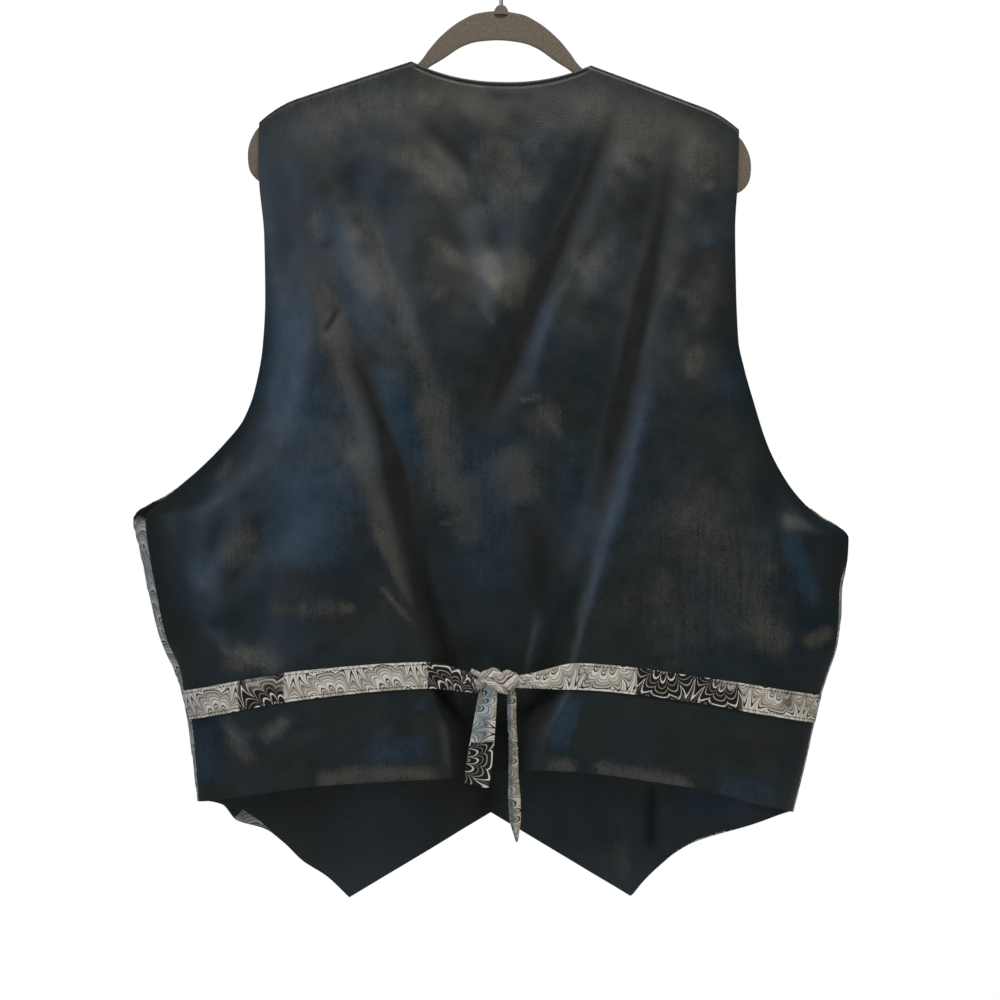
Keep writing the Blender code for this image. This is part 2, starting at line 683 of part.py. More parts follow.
# The knot is a rounded lump with a slanting groove where the straps cross
def make_knot(knot_y):
    lump = bmesh.new()
    bmesh.ops.create_uvsphere(lump, u_segments=KNOT_SEGMENTS, v_segments=KNOT_RINGS, radius=1.0)
    for vertex in lump.verts:
        across_groove = (vertex.co.x - GROOVE_SLANT * vertex.co.z) / GROOVE_HALF
        groove = 1.0 - KNOT_GROOVE * math.exp(-across_groove ** 2)
        vertex.co.x = (KNOT_CENTRE[0] + vertex.co.x * KNOT_HALF[0]) * MM
        vertex.co.y = (knot_y + vertex.co.y * KNOT_HALF[1] * groove) * MM
        vertex.co.z = (KNOT_CENTRE[1] + vertex.co.z * KNOT_HALF[2] * groove) * MM
    mesh = bpy.data.meshes.new("belt_knot")
    lump.to_mesh(mesh)
    lump.free()
    mesh.shade_smooth()
    add_object("belt_knot", mesh, print_cloth)


# A free end hangs from under the knot, flat or folded along its length
def make_tail(name, rows, wall, knot_y):
    heights = np.linspace(rows[0].z, rows[-1].z, TAIL_STEPS)
    centre = table_curve(rows, "z", "x")(heights)[:, None]
    half = table_curve(rows, "z", "half")(heights)[:, None]
    slant = table_curve(rows, "z", "slant")(heights)[:, None]
    across = np.array([-1.0, 0.0, 1.0])[None]
    x = centre + half * across
    z = heights[:, None] + slant * across
    under_knot = np.sqrt(1.0 - ((x[0] - KNOT_CENTRE[0]) / KNOT_HALF[0]) ** 2)
    z[0] = KNOT_CENTRE[1] - KNOT_HALF[2] * under_knot - KNOT_GAP
    y = np.full_like(x, knot_y)
    middle = np.stack([x, y, z], axis=-1)
    half_wall = np.array([0.0, wall / 2, 0.0])
    cloth_wall(name, middle - half_wall, middle + half_wall, print_cloth)


# Turned profile of a button, from the middle of its face over the rim to its flat back
ProfileRow = namedtuple("ProfileRow", "radius height")
BUTTON_PROFILE = (
    ProfileRow(0.0, 1.9),
    ProfileRow(5.2, 1.9),
    ProfileRow(6.3, 2.6),
    ProfileRow(7.5, 1.6),
    ProfileRow(7.0, 0.0),
    ProfileRow(0.0, 0.0),
)


def make_buttons():
    for number in range(BUTTON_COUNT):
        x = np.array((FRONT_EDGE_LEFT + FRONT_EDGE_RIGHT) / 2)
        z = np.array(BUTTON_TOP_Z - number * BUTTON_PITCH)
        point, normal = surface(x, z, left_front_depth, 1.0)
        profile = bmesh.new()
        ring = [profile.verts.new((row.radius * MM, 0.0, row.height * MM)) for row in BUTTON_PROFILE]
        for upper, lower in zip(ring, ring[1:]):
            profile.edges.new((upper, lower))
        mesh = bpy.data.meshes.new("button")
        profile.to_mesh(mesh)
        profile.free()
        button = add_object("button_" + str(number + 1), mesh, button_resin)
        screw = button.modifiers.new("Turn", "SCREW")
        screw.steps = BUTTON_SEGMENTS
        screw.render_steps = BUTTON_SEGMENTS
        screw.use_merge_vertices = True
        screw.merge_threshold = MERGE_DISTANCE * MM
        button.location = (point + normal * BUTTON_GAP) * MM
        button.rotation_euler = (-math.pi / 2 + math.asin(normal[2]), 0.0, 0.0)


# The hanger is a flat outline: the nub, an arch, arms under the shoulder line and rounded ends
def make_hanger():
    half = [(NUB_HALF_TOP, NUB_TOP), (NUB_HALF_BASE, NUB_BASE)]
    half += [tuple(row) for row in ARCH_TOP]
    for station in ARM_STATIONS:
        end_part = ease((station - ARM_END_START) / (-TIP_LEFT - ARM_END_START))
        level_ridge = ridge_z(station) + HANGER_TILT * station
        half.append((station, level_ridge - ARM_DROP - ARM_END_DROP * end_part))
    half += [tuple(row) for row in ARM_END + ARM_UNDER]
    outline = half + [(-x, z) for x, z in reversed(half)]
    shape = bpy.data.curves.new("hanger_body", "CURVE")
    shape.dimensions = "2D"
    shape.fill_mode = "BOTH"
    shape.resolution_u = HANGER_CURVE_STEPS
    shape.render_resolution_u = HANGER_CURVE_STEPS
    shape.extrude = (HANGER_THICK / 2 - HANGER_BEVEL) * MM
    shape.bevel_depth = HANGER_BEVEL * MM
    shape.bevel_resolution = 0
    shape.offset = -HANGER_BEVEL * MM
    spline = shape.splines.new("BEZIER")
    spline.use_cyclic_u = True
    spline.bezier_points.add(len(outline) - 1)
    for node, (x, z) in zip(spline.bezier_points, outline):
        node.co = (x * MM, (z - HANGER_TILT * x) * MM, 0.0)
        corner = z >= NUB_BASE
        node.handle_left_type = "VECTOR" if corner else "AUTO"
        node.handle_right_type = "VECTOR" if corner else "AUTO"
    hanger = add_object("hanger_body", shape, flocked_plastic)
    hanger.rotation_euler = (math.pi / 2, 0.0, 0.0)


# The hook is a bent wire: a stem, a swing out to one side and an arc over the rail
def make_hook():
    centre_z = HOOK_WIRE_RADIUS - HOOK_RADIUS
    path = [(0.0, NUB_TOP + SEAM_GAP), (0.0, HOOK_STEM_TOP)]
    for step in range(1, HOOK_STEPS):
        part = step / HOOK_STEPS
        path.append((HOOK_RADIUS * ease(part), blend(HOOK_STEM_TOP, centre_z, part)))
    for step in range(2 * HOOK_STEPS + HOOK_TIP_STEPS):
        angle = math.pi * step / (2 * HOOK_STEPS)
        path.append((HOOK_RADIUS * math.cos(angle), centre_z + HOOK_RADIUS * math.sin(angle)))
    wire = bpy.data.curves.new("hanger_hook", "CURVE")
    wire.dimensions = "3D"
    wire.bevel_depth = HOOK_WIRE_RADIUS * MM
    wire.bevel_resolution = 2
    wire.use_fill_caps = True
    spline = wire.splines.new("POLY")
    spline.points.add(len(path) - 1)
    for node, (x, z) in zip(spline.points, path):
        node.co = (x * MM, 0.0, z * MM, 1.0)
    add_object("hanger_hook", wire, steel)


for leftover in list(bpy.data.objects):
    bpy.data.objects.remove(leftover)
collection = bpy.data.collections.new("formal_vest")
bpy.context.scene.collection.children.link(collection)

satin = new_material("black_satin", (0.014, 0.016, 0.018), 0.38)
lining_satin = new_material("black_lining_satin", (0.012, 0.014, 0.015), 0.42)
print_cloth = new_material("marbled_print", (0.30, 0.29, 0.27), 0.62)
button_resin = new_material("black_resin", (0.012, 0.012, 0.013), 0.35)
flocked_plastic = new_material("taupe_flock", (0.17, 0.137, 0.105), 0.95)
steel = new_material("plated_steel", (0.62, 0.61, 0.60), 0.22, 1.0)

panel_points, panel_normals = make_back()
make_front("left")
make_front("right")
belt_column = len(LEFT_COLUMNS)
belt_row = len(BACK_RIDGE_ROWS) - 1 + sum(BACK_ROW_COUNTS[:2])
knot_depth = panel_points[belt_row, belt_column, 1] - SEAM_GAP - BELT_WALL
make_strap("left", panel_points, panel_normals, knot_depth)
make_strap("right", panel_points, panel_normals, knot_depth)
make_knot(knot_depth)
make_tail("belt_tail_left", TAIL_LEFT, BELT_WALL, knot_depth)
make_tail("belt_tail_right", TAIL_RIGHT, FOLDED_WALL, knot_depth)
make_buttons()
make_hanger()
make_hook()
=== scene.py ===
# Looks of a formal vest on its hanger: satin back, printed fronts and belt, linings, buttons and trim.
# Sizes are in millimetres until points are placed, and mm turns them into metres.

import math
from collections import namedtuple

import bmesh
import bpy
import numpy as np
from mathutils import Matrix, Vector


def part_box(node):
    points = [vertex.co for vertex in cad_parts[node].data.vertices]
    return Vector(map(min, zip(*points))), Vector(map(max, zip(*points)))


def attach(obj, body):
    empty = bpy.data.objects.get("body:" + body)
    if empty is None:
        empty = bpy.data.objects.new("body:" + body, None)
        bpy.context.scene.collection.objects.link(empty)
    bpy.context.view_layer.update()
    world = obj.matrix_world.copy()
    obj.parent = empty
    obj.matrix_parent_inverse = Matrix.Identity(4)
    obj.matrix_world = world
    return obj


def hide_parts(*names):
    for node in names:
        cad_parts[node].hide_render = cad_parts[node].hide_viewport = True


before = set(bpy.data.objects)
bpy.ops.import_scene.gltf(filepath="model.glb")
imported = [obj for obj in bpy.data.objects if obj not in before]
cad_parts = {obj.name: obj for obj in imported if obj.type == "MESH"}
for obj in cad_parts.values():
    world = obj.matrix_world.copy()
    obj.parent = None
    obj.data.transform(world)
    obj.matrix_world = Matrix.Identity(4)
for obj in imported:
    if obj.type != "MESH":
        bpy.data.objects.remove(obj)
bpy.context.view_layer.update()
bpy.ops.object.select_all(action="DESELECT")
mm = 0.001


# Small helpers

def ease(value):
    value = np.clip(value, 0.0, 1.0)
    return value * value * (3.0 - 2.0 * value)


def mixTo(start, end, part):
    return start + (end - start) * part


def rowsOf(columns, *rows, defaults=()):
    row = namedtuple("Row", columns, defaults=defaults)
    return [row(*values) for values in rows]


# folds have an even profile unless a row gives a skew, and strokes are straight too unless it gives a bow
def foldRows(*rows):
    return rowsOf("x0 z0 x1 z1 bow width height skew", *rows, defaults=(0.0,))


def strokeRows(*rows):
    return rowsOf("x0 z0 x1 z1 width height bow skew", *rows, defaults=(0.0, 0.0))


# a smooth curve through one column of a table, read along another, that never overshoots its rows
def curveOf(table, key, column):
    rows = sorted(table, key=lambda row: getattr(row, key))
    keys = np.array([float(getattr(row, key)) for row in rows])
    values = np.array([float(getattr(row, column)) for row in rows])
    steps = np.diff(values) / np.diff(keys)
    product = steps[:-1] * steps[1:]
    total = np.where(product > 0, steps[:-1] + steps[1:], 1.0)
    inner = np.where(product > 0, 2.0 * product / total, 0.0)
    slopes = np.concatenate(([steps[0]], inner, [steps[-1]]))

    def at(place):
        place = np.clip(place, keys[0], keys[-1])
        index = np.clip(np.searchsorted(keys, place) - 1, 0, len(keys) - 2)
        span = keys[index + 1] - keys[index]
        part = (place - keys[index]) / span
        bendStart = part * (1.0 - part) ** 2 * span * slopes[index]
        bendEnd = part ** 2 * (1.0 - part) * span * slopes[index + 1]
        return mixTo(values[index], values[index + 1], ease(part)) + bendStart - bendEnd

    return at


# The vest's form, the same one that its solids have

form = {
    "neckHalf": 80.0, "neckZ": -110.0, "slope": 0.351, "kneeHalf": 180.0, "tipLeft": -214.0,
    "tipRight": 210.5, "droop": 9.8, "tilt": 0.0227,
    "necklineDrop": 17.0, "necklinePower": 2.2, "neckTurn": 1.5, "ridgeBack": 4.4, "ridgeFront": 5.4,
    "sideRound": 70.0, "hangerZone": 110.0, "hangerFade": 80.0, "wallLeft": 24.0, "wallRight": 50.0,
    "edgeFade": 30.0, "topFade": 90.0, "foldEnd": 0.3, "leastDepth": 0.15,
    "foldShare": 0.6, "creaseShare": 0.42, "pleatShare": 0.88, "frontRumple": 0.6,
    # the next row also sets how the painted light strokes fade at their ends, and the strength and width of
    # a painted highlight along the shoulder ridge
    "castEnd": 0.3, "edgeWarm": 0.5, "edgeWarmMm": 5.0,
    "frontEdgeLeft": 8.0, "frontEdgeRight": -11.0, "vBottom": -410.0, "vBow": 6.0,
    "scoop": 18.0, "scoopPower": 1.5, "armholeTurn": 40.0,
    "lapStart": -75.0, "lapWidth": 40.0, "lapClear": 25.0, "lapLift": 3.1,
}

leftSide = rowsOf(
    "z edge reach",
    (-160, -214.0, -226.0), (-207, -214.0, -226.0), (-264, -209.0, -221.0), (-320, -208.0, -220.0),
    (-360, -210.0, -222.0), (-400, -217.0, -230.0), (-426, -227.0, -240.0), (-446, -243.0, -253.0),
    (-469, -266.0, -273.0), (-491, -292.0, -297.0), (-512, -313.5, -326.0), (-544, -310.0, -319.5),
    (-573, -304.5, -313.5), (-616, -295.0, -303.5), (-649, -281.5, -289.0), (-665, -279.5, -283.5),
    (-690, -272.5, -278.0), (-712, -270.0, -275.0), (-762, -266.5, -269.0),
)
rightSide = rowsOf(
    "z edge reach",
    (-165, 210.5, 222.0), (-214, 209.0, 221.0), (-258, 206.5, 218.5), (-302, 207.0, 219.0),
    (-355, 209.0, 221.0), (-382, 214.5, 227.0), (-407, 221.5, 234.0), (-449, 235.0, 246.0),
    (-483, 253.5, 262.0), (-508, 276.0, 282.0), (-530, 305.5, 308.0), (-548, 304.5, 307.0),
    (-575, 298.5, 302.0), (-602, 297.5, 301.0), (-625, 295.0, 297.5), (-651, 286.5, 289.0),
    (-670, 280.5, 283.0), (-695, 274.5, 277.0), (-731, 266.5, 269.0), (-771, 256.5, 259.0),
)
depths = rowsOf(
    "drop back front",
    (0, 0.0, 0.0), (10, 0.5, 0.5), (50, 5.0, 5.0), (140, 14.0, 13.0), (240, 25.0, 23.0),
    (340, 32.0, 31.0), (430, 36.0, 36.0), (540, 39.0, 39.0), (640, 38.0, 39.0), (745, 35.0, 37.0),
)
# the two pleat edges that the tied belt draws together, and how far the middle sinks between them
pleats = rowsOf(
    "z left right depth",
    (-105, -80.0, 80.0, 0.0), (-235, -85.0, 83.0, 0.0), (-357, -93.0, 96.0, 1.0), (-435, -99.0, 114.0, 6.0),
    (-483, -98.0, 115.0, 11.0), (-537, -86.0, 98.0, 19.0), (-578, -78.0, 86.0, 26.0),
    (-610, -67.0, 75.0, 31.0), (-637, -61.0, 68.0, 34.0), (-662, -62.0, 64.0, 35.0),
    (-707, -47.0, 40.0, 34.0), (-740, -45.0, 33.0, 32.0),
)
# heights of the level lines across the back, by zones from the left edge over the pleats to the right edge
levels = rowsOf(
    "station underarm beltTop beltBottom hem",
    (0.0, -512.0, -664.0, -689.0, -762.0), (0.5, -516.0, -645.0, -670.0, -746.0),
    (1.0, -519.0, -637.5, -660.5, -739.5), (1.5, -521.0, -637.0, -659.5, -735.0),
    (2.0, -523.0, -638.5, -661.5, -732.5), (2.5, -526.0, -651.0, -673.5, -744.5),
    (3.0, -530.0, -668.0, -692.0, -771.0),
)
# large folds of the solids: a bowed spine, a width and a height towards the outside
backFolds = foldRows(
    (96, -147, -16, -452, -4, 20, -8.0), (148, -155, 67, -532, 6, 22, -7.0),
    (-68, -150, 5, -337, 18, 20, -5.0), (-142, -190, -60, -430, 0, 24, -6.0),
    (-156, -353, -100, -480, -5, 18, -6.0), (234, -464, 288, -607, 0, 20, -7.0),
    (35, -470, 27, -640, 0, 20, -4.0), (-180, -420, -138, -600, 0, 34, 5.0),
    (-240, -510, -180, -640, 0, 24, -5.0), (190, -480, 130, -640, 0, 34, 5.0),
    (-170, -690, -120, -760, 0, 22, -4.0), (150, -690, 190, -770, 0, 22, -4.0),
)
frontFolds = foldRows(
    (-150, -330, -110, -820, 8, 30, -6.0), (-235, -480, -190, -760, 0, 26, 5.0),
    (-70, -470, -60, -760, 0, 24, -4.0), (150, -340, 160, -790, -8, 28, -7.0),
    (235, -500, 215, -750, 0, 26, 5.0), (70, -480, 75, -760, 0, 24, -4.0),
)
# finer creases: a positive skew makes the right flank the steep one
backCreases = foldRows(
    (-154, -347, -98, -492, 11, 12, 4.5, 0.55), (-140, -368, -84, -505, 11, 13, -4.0, -0.4),
    (-142, -322, -157, -356, 0, 6, -2.2), (-149, -346, -112, -440, 8, 4.0, 2.6, 0.5),
    (-115, -512, -74, -592, 2, 5, 1.8, 0.5), (-113, -558, -90, -594, 2, 4.5, 1.4, 0.4),
    (147, -362, 112, -488, -3, 12, 2.2, -0.3), (130, -380, 98, -500, -3, 12, -2.4, 0.4),
    (101, -146, -19, -458, -8, 9, -3.4, -0.35), (122, -160, 12, -440, -9, 16, 3.5, 0.4),
    (70, -170, -30, -400, -9, 15, 3.0, -0.3), (148, -157, 76, -510, 10, 9, -2.6, 0.3),
    (165, -180, 110, -440, 8, 15, 3.0), (-76, -150, 5, -340, 22, 9, -1.8, 0.3),
    (-96, -160, -26, -360, 20, 15, 1.4), (-141, -200, -90, -325, 3, 10, -2.6, 0.2),
    (-170, -190, -118, -350, 4, 16, 3.0, 0.2), (-196, -220, -176, -400, -4, 15, -2.4),
    (187, -200, 160, -380, 5, 15, -2.4), (34, -470, 26, -628, 3, 9, -3.0),
    (60, -470, 52, -600, 0, 10, 1.0, 0.2), (4, -480, -6, -620, 4, 11, 3.0, -0.2),
    (-42, -500, -36, -630, 3, 10, -3.0), (-62, -470, -54, -600, 2, 10, 2.4, 0.2),
    (72, -568, 60, -603, 0, 5, 1.8), (10, -412, 115, -401, 1, 2.6, 0.5), (-22, -188, 22, -186, 0, 2.6, 0.4),
    (230, -462, 286, -608, -5, 9, -3.0, 0.3), (222, -520, 262, -624, 4, 12, 3.4, 0.2),
    (262, -600, 288, -622, 0, 7, 2.4), (-216, -496, -246, -566, 4, 10, 3.4, 0.3),
    (-238, -500, -268, -580, 3, 9, -2.6), (-212, -590, -126, -594, 6, 10, 2.6, 0.4),
    (-206, -655, -252, -626, -4, 9, 3.4, 0.4), (-202, -636, -262, -604, -5, 9, -3.2, -0.3),
    (-262, -690, -210, -730, 4, 8, 3.0, 0.3), (-250, -676, -214, -706, 2, 8, -2.6),
    (-176, -682, -208, -716, 3, 8, 2.8), (-158, -694, -196, -738, 2, 8, -2.4),
    (-128, -700, -156, -742, 3, 7, 2.0, 0.3), (-100, -690, -84, -738, 0, 9, 2.2),
    (66, -672, 53, -716, 0, 4, -2.4, 0.3), (53, -714, 70, -734, 0, 2.4, 0.9),
    (120, -690, 150, -742, 3, 9, 2.4), (210, -690, 232, -760, 0, 12, -2.6),
    (176, -620, 110, -640, 4, 10, -2.2), (150, -560, 128, -640, 3, 12, 2.4),
    (196, -560, 176, -650, 3, 13, -2.4),
)
frontCreases = foldRows(
    (-126, -600, -112, -840, 6, 9, -2.6, 0.2), (-170, -640, -150, -820, 4, 12, 2.4),
    (-60, -700, -84, -800, 4, 10, 2.2), (-20, -690, -34, -790, 2, 9, -2.0),
    (154, -660, 152, -812, -3, 7, -3.4, 0.4), (172, -660, 170, -800, -3, 9, 2.8),
    (108, -770, 106, -850, 0, 8, 2.8, 0.3), (60, -700, 88, -820, -4, 11, -2.4),
    (-200, -230, -160, -420, 4, 14, -2.6), (-120, -200, -60, -420, 6, 13, 2.6, 0.2),
    (190, -230, 160, -420, -4, 14, -2.6), (120, -210, 66, -430, -6, 13, 2.6, -0.2),
    (-290, -520, -180, -600, 6, 12, -2.8, 0.2), (284, -530, 170, -610, -6, 12, -2.8, -0.2),
    (-40, -430, -170, -560, 6, 14, 2.4), (30, -430, 160, -570, -6, 14, 2.4),
)

# painted light on the satin back: warm painted highlights, cool painted reflections and deep painted shade
# in its troughs and sunk middle, as soft strokes with a half width and a share
backPaintedLight = {
    # painted highlights
    "warm": strokeRows(
        (-78, -136, -50, -147, 7, 0.5), (-104, -179, -34, -233, 11, 0.8), (-132, -210, -48, -433, 10, 0.7),
        (-69, -261, -31, -289, 7, 0.6), (-78, -303, -45, -322, 12, 0.4), (-171, -242, -148, -266, 12, 0.6),
        (-170, -280, -100, -480, 13, 1.0), (-67, -386, -41, -514, 18, 0.8),
        (-209, -166, -60, -140, 24, 0.45), (-19, -164, 16, -260, 26, 0.6), (-22, -317, -4, -345, 5, 0.6),
        (38, -140, 164, -191, 32, 0.45), (153, -177, 188, -224, 24, 0.45), (179, -215, 186, -224, 5, 0.9),
        (13, -265, 13, -339, 17, 0.8), (66, -302, 105, -259, 10, 0.85), (160, -395, 177, -357, 10, 0.6),
        (155, -306, 176, -332, 9, 0.4), (15, -438, 59, -410, 14, 0.5), (30, -413, 59, -446, 4, 0.6),
        (3, -444, 20, -510, 20, 0.7), (-235, -453, -253, -488, 8, 0.4), (-215, -512, -243, -563, 14, 0.7),
        (-216, -593, -124, -590, 9, 0.5), (-143, -592, -124, -589, 5, 0.6),
        (-253, -633, -183, -640, 11, 0.85), (-245, -694, -211, -730, 8, 0.6),
        (-213, -709, -183, -685, 8, 0.75), (-168, -744, -114, -733, 8, 1.0),
        (-132, -734, -44, -737, 7, 1.0), (-138, -420, -76, -580, 11, 1.0), (-114, -510, -69, -598, 6, 0.6),
        (-52, -681, -45, -739, 4, 0.5), (260, -624, 297, -609, 7, 1.0), (210, -594, 255, -632, 15, 0.75),
        (223, -559, 243, -552, 4, 0.4), (76, -729, 124, -737, 7, 1.0), (108, -736, 176, -749, 8, 1.0),
        (36, -728, 70, -730, 8, 0.8), (130, -470, 250, -620, 44, 0.4), (100, -560, 190, -650, 30, 0.3),
        (-148, -357, -123, -395, 2.4, 1.0), (-113, -513, -74, -596, 2.6, 1.0),
        (-109, -567, -74, -608, 2.6, 0.9), (-58, -519, -32, -511, 2.2, 0.8), (11, -411, 38, -404, 2.2, 0.8),
        (-36, -470, -26, -545, 16, 0.7), (-14, -452, 30, -500, 20, 0.5)),
    # painted reflections of cool light
    "cool": strokeRows(
        (-177, -151, -177, -186, 17, 0.4), (-163, -213, -96, -383, 17, 0.9),
        (-103, -361, -82, -496, 17, 0.95), (-187, -291, -187, -461, 28, 0.85),
        (-177, -448, -177, -575, 38, 0.6), (-34, -215, -4, -365, 12, 0.5), (24, -173, 38, -186, 19, 0.5),
        (43, -291, 27, -384, 10, 0.7), (77, -330, 107, -226, 21, 0.35), (141, -365, 64, -638, 8, 0.55),
        (66, -660, 44, -720, 11, 0.95), (175, -253, 183, -278, 10, 0.6), (187, -376, 208, -418, 14, 0.4),
        (243, -509, 281, -599, 10, 0.85), (177, -743, 254, -760, 17, 0.5),
        (-271, -578, -250, -536, 13, 0.7), (-266, -685, -258, -754, 17, 0.7),
        (-131, -722, -49, -708, 13, 0.6), (-73, -671, -68, -681, 6, 0.7), (-165, -370, -145, -570, 40, 0.5),
        (-26, -410, 4, -600, 42, 0.45), (70, -400, 60, -560, 30, 0.35)),
    # painted shade in the troughs, in the sunk middle and under the belt
    "deep": strokeRows(
        (118, -105, -34, -480, 9, 1.0), (60, -230, -20, -440, 8, 0.5), (160, -130, 66, -560, 9.5, 1.0, 7.0),
        (132, -260, 84, -480, 9, 0.5, 3.0), (-78, -150, -16, -212, 8, 0.7),
        (-150, -330, -76, -540, 9, 1.0, 9.0), (-108, -420, -50, -680, 12, 1.0),
        (-67, -619, -2, -632, 23, 0.8), (31, -492, 38, -619, 17, 0.9), (72, -666, 186, -676, 19, 0.6),
        (-177, -681, -96, -668, 17, 0.7), (-305, -531, -295, -603, 14, 0.6),
        (285, -523, 295, -599, 14, 0.5), (-233, -440, -207, -400, 12, 0.5), (209, -423, 236, -460, 12, 0.6),
        (99, -254, 65, -281, 5, 0.5), (-35, -287, -67, -398, 5, 0.6), (-174, -552, -193, -588, 9, 0.5),
        (-164, -212, -145, -231, 10, 0.6), (-156, -266, -150, -276, 8, 0.6),
        (-140, -323, -158, -354, 3, 0.9), (-19, -138, 38, -140, 5, 0.5), (-30, -640, -26, -800, 20, 1.0),
        (14, -640, 12, -800, 24, 1.0), (-8, -640, -6, -800, 20, 1.0)),
}
# painted light on the linings where they show below the back: a painted highlight, cool painted reflections
# and painted shade
liningPaintedLight = {
    "warm": strokeRows(
        (106, -798, 110, -836, 6, 0.6), (84, -800, 108, -846, 16, 0.3)),
    "cool": strokeRows(
        (152, -762, 236, -768, 20, 0.8), (-150, -760, -60, -790, 24, 0.3), (20, -760, 70, -800, 18, 0.3)),
    "deep": strokeRows(
        (136, -740, 134, -820, 7, 0.8), (-30, -720, -4, -790, 20, 0.6)),
}

leftEdge = curveOf(leftSide, "z", "edge")
leftReach = curveOf(leftSide, "z", "reach")
rightEdge = curveOf(rightSide, "z", "edge")
rightReach = curveOf(rightSide, "z", "reach")
pleatLeft = curveOf(pleats, "z", "left")
pleatRight = curveOf(pleats, "z", "right")
pleatDepth = curveOf(pleats, "z", "depth")
backDepthAt = curveOf(depths, "drop", "back")
frontDepthAt = curveOf(depths, "drop", "front")
levelCurves = [curveOf(levels, "station", name) for name in levels[0]._fields[1:]]


# shoulder line, straight from the neck to a knee and then drooping to the tip, level across the neck
def ridgeZ(x):
    half = np.abs(x)
    fall = form["slope"] * np.maximum(half - form["neckHalf"], 0.0)
    knee = np.maximum(half - form["kneeHalf"], 0.0) / (-form["tipLeft"] - form["kneeHalf"])
    return form["neckZ"] - fall - form["droop"] * knee ** 2 - form["tilt"] * x


# height of all folds of a table at each place
def foldRelief(table, x, z, end=form["foldEnd"], steps=12):
    relief = np.zeros_like(x)
    parts = np.linspace(0.0, 1.0, steps + 1)
    for fold in table:
        runX = fold.x1 - fold.x0
        runZ = fold.z1 - fold.z0
        length = math.hypot(runX, runZ)
        sideways = 4.0 * fold.bow * parts * (1.0 - parts) / length
        spineX = fold.x0 + runX * parts - runZ * sideways
        spineZ = fold.z0 + runZ * parts + runX * sideways
        room = 3.0 * fold.width * (1.0 + abs(fold.skew))
        near = (x > spineX.min() - room) & (x < spineX.max() + room)
        near &= (z > spineZ.min() - room) & (z < spineZ.max() + room)
        px = x[near]
        pz = z[near]
        nearest = np.full(px.shape, np.inf)
        along = np.zeros(px.shape)
        right = np.zeros(px.shape)
        for step in range(steps):
            legX = spineX[step + 1] - spineX[step]
            legZ = spineZ[step + 1] - spineZ[step]
            part = ((px - spineX[step]) * legX + (pz - spineZ[step]) * legZ) / (legX ** 2 + legZ ** 2)
            part = np.clip(part, 0.0, 1.0)
            offX = px - spineX[step] - part * legX
            offZ = pz - spineZ[step] - part * legZ
            gap = np.hypot(offX, offZ)
            closer = gap < nearest
            nearest = np.where(closer, gap, nearest)
            along = np.where(closer, (step + part) / steps, along)
            right = np.where(closer, np.sign(offX), right)
        width = fold.width * (1.0 - fold.skew * right)
        ends = ease(along / end) * ease((1.0 - along) / end)
        relief[near] += fold.height * ends * np.exp(-(nearest / width) ** 2)
    return relief


def folded(folds, creases, x, z):
    return form["foldShare"] * foldRelief(folds, x, z) + form["creaseShare"] * foldRelief(creases, x, z)


# depth of a panel off the hanger's plane before folds: a rounded shoulder, a body and rounded sides
def plainDepth(x, z, ridge, depthAt):
    drop = np.maximum(ridgeZ(x) - z, 0.0)
    inside = np.minimum(x - leftReach(z), rightReach(z) - x)
    side = np.clip(1.0 - inside / form["sideRound"], 0.0, 1.0)
    rounding = np.sqrt(1.0 - side ** 2)
    pastNeck = form["neckTurn"] * np.maximum(form["neckHalf"] - np.abs(x), 0.0)
    turn = 1.0 - np.clip((drop + pastNeck) / ridge, 0.0, 1.0)
    shoulder = ridge * np.sqrt(1.0 - turn ** 2)
    shoulder = shoulder * mixTo(1.0, rounding, ease((drop - form["hangerZone"]) / form["hangerFade"]))
    return shoulder + depthAt(drop) * rounding


def edgeFade(x, z):
    side = ease((x - leftEdge(z)) / form["edgeFade"]) * ease((rightEdge(z) - x) / form["edgeFade"])
    return side * ease((ridgeZ(x) - z) / form["topFade"])


# soft unevenness of worn cloth: cells of seeded heights, each layer turned a little and eased between
rumples = rowsOf(
    "cellX cellZ turn height seed",
    (48, 84, 0.10, 1.5, 3), (25, 40, -0.35, 0.75, 4), (12, 17, 0.45, 0.28, 5),
)
rumpleCells = 128


def rumple(x, z):
    relief = np.zeros_like(x)
    for layer in rumples:
        draws = np.random.default_rng(layer.seed)
        heights = draws.uniform(-layer.height, layer.height, (rumpleCells, rumpleCells))
        across = (x * math.cos(layer.turn) + z * math.sin(layer.turn)) / layer.cellX + rumpleCells * 0.5
        up = (z * math.cos(layer.turn) - x * math.sin(layer.turn)) / layer.cellZ + rumpleCells * 0.75
        column = np.floor(across).astype(int)
        row = np.floor(up).astype(int)
        along = ease(across - column)
        lower = mixTo(heights[row, column], heights[row, column + 1], along)
        upper = mixTo(heights[row + 1, column], heights[row + 1, column + 1], along)
        relief += mixTo(lower, upper, ease(up - row))
    return relief


# the neckline's turned edge: a rounded roll with a sunk seam line under it
trim = {"roll": 0.35, "rollAt": 1.5, "rollHalf": 1.2, "seam": 0.6, "seamAt": 3.7, "seamHalf": 0.8,
        "end": 10.0}


def neckTop(x):
    half = np.clip(np.abs(x) / form["neckHalf"], 0.0, 1.0)
    return ridgeZ(x) - form["necklineDrop"] * (1.0 - half ** form["necklinePower"])


def neckTrim(x, z):
    below = neckTop(x) - z
    roll = trim["roll"] * np.exp(-((below - trim["rollAt"]) / trim["rollHalf"]) ** 2)
    seam = trim["seam"] * np.exp(-((below - trim["seamAt"]) / trim["seamHalf"]) ** 2)
    return (roll - seam) * ease((form["neckHalf"] - np.abs(x)) / trim["end"])


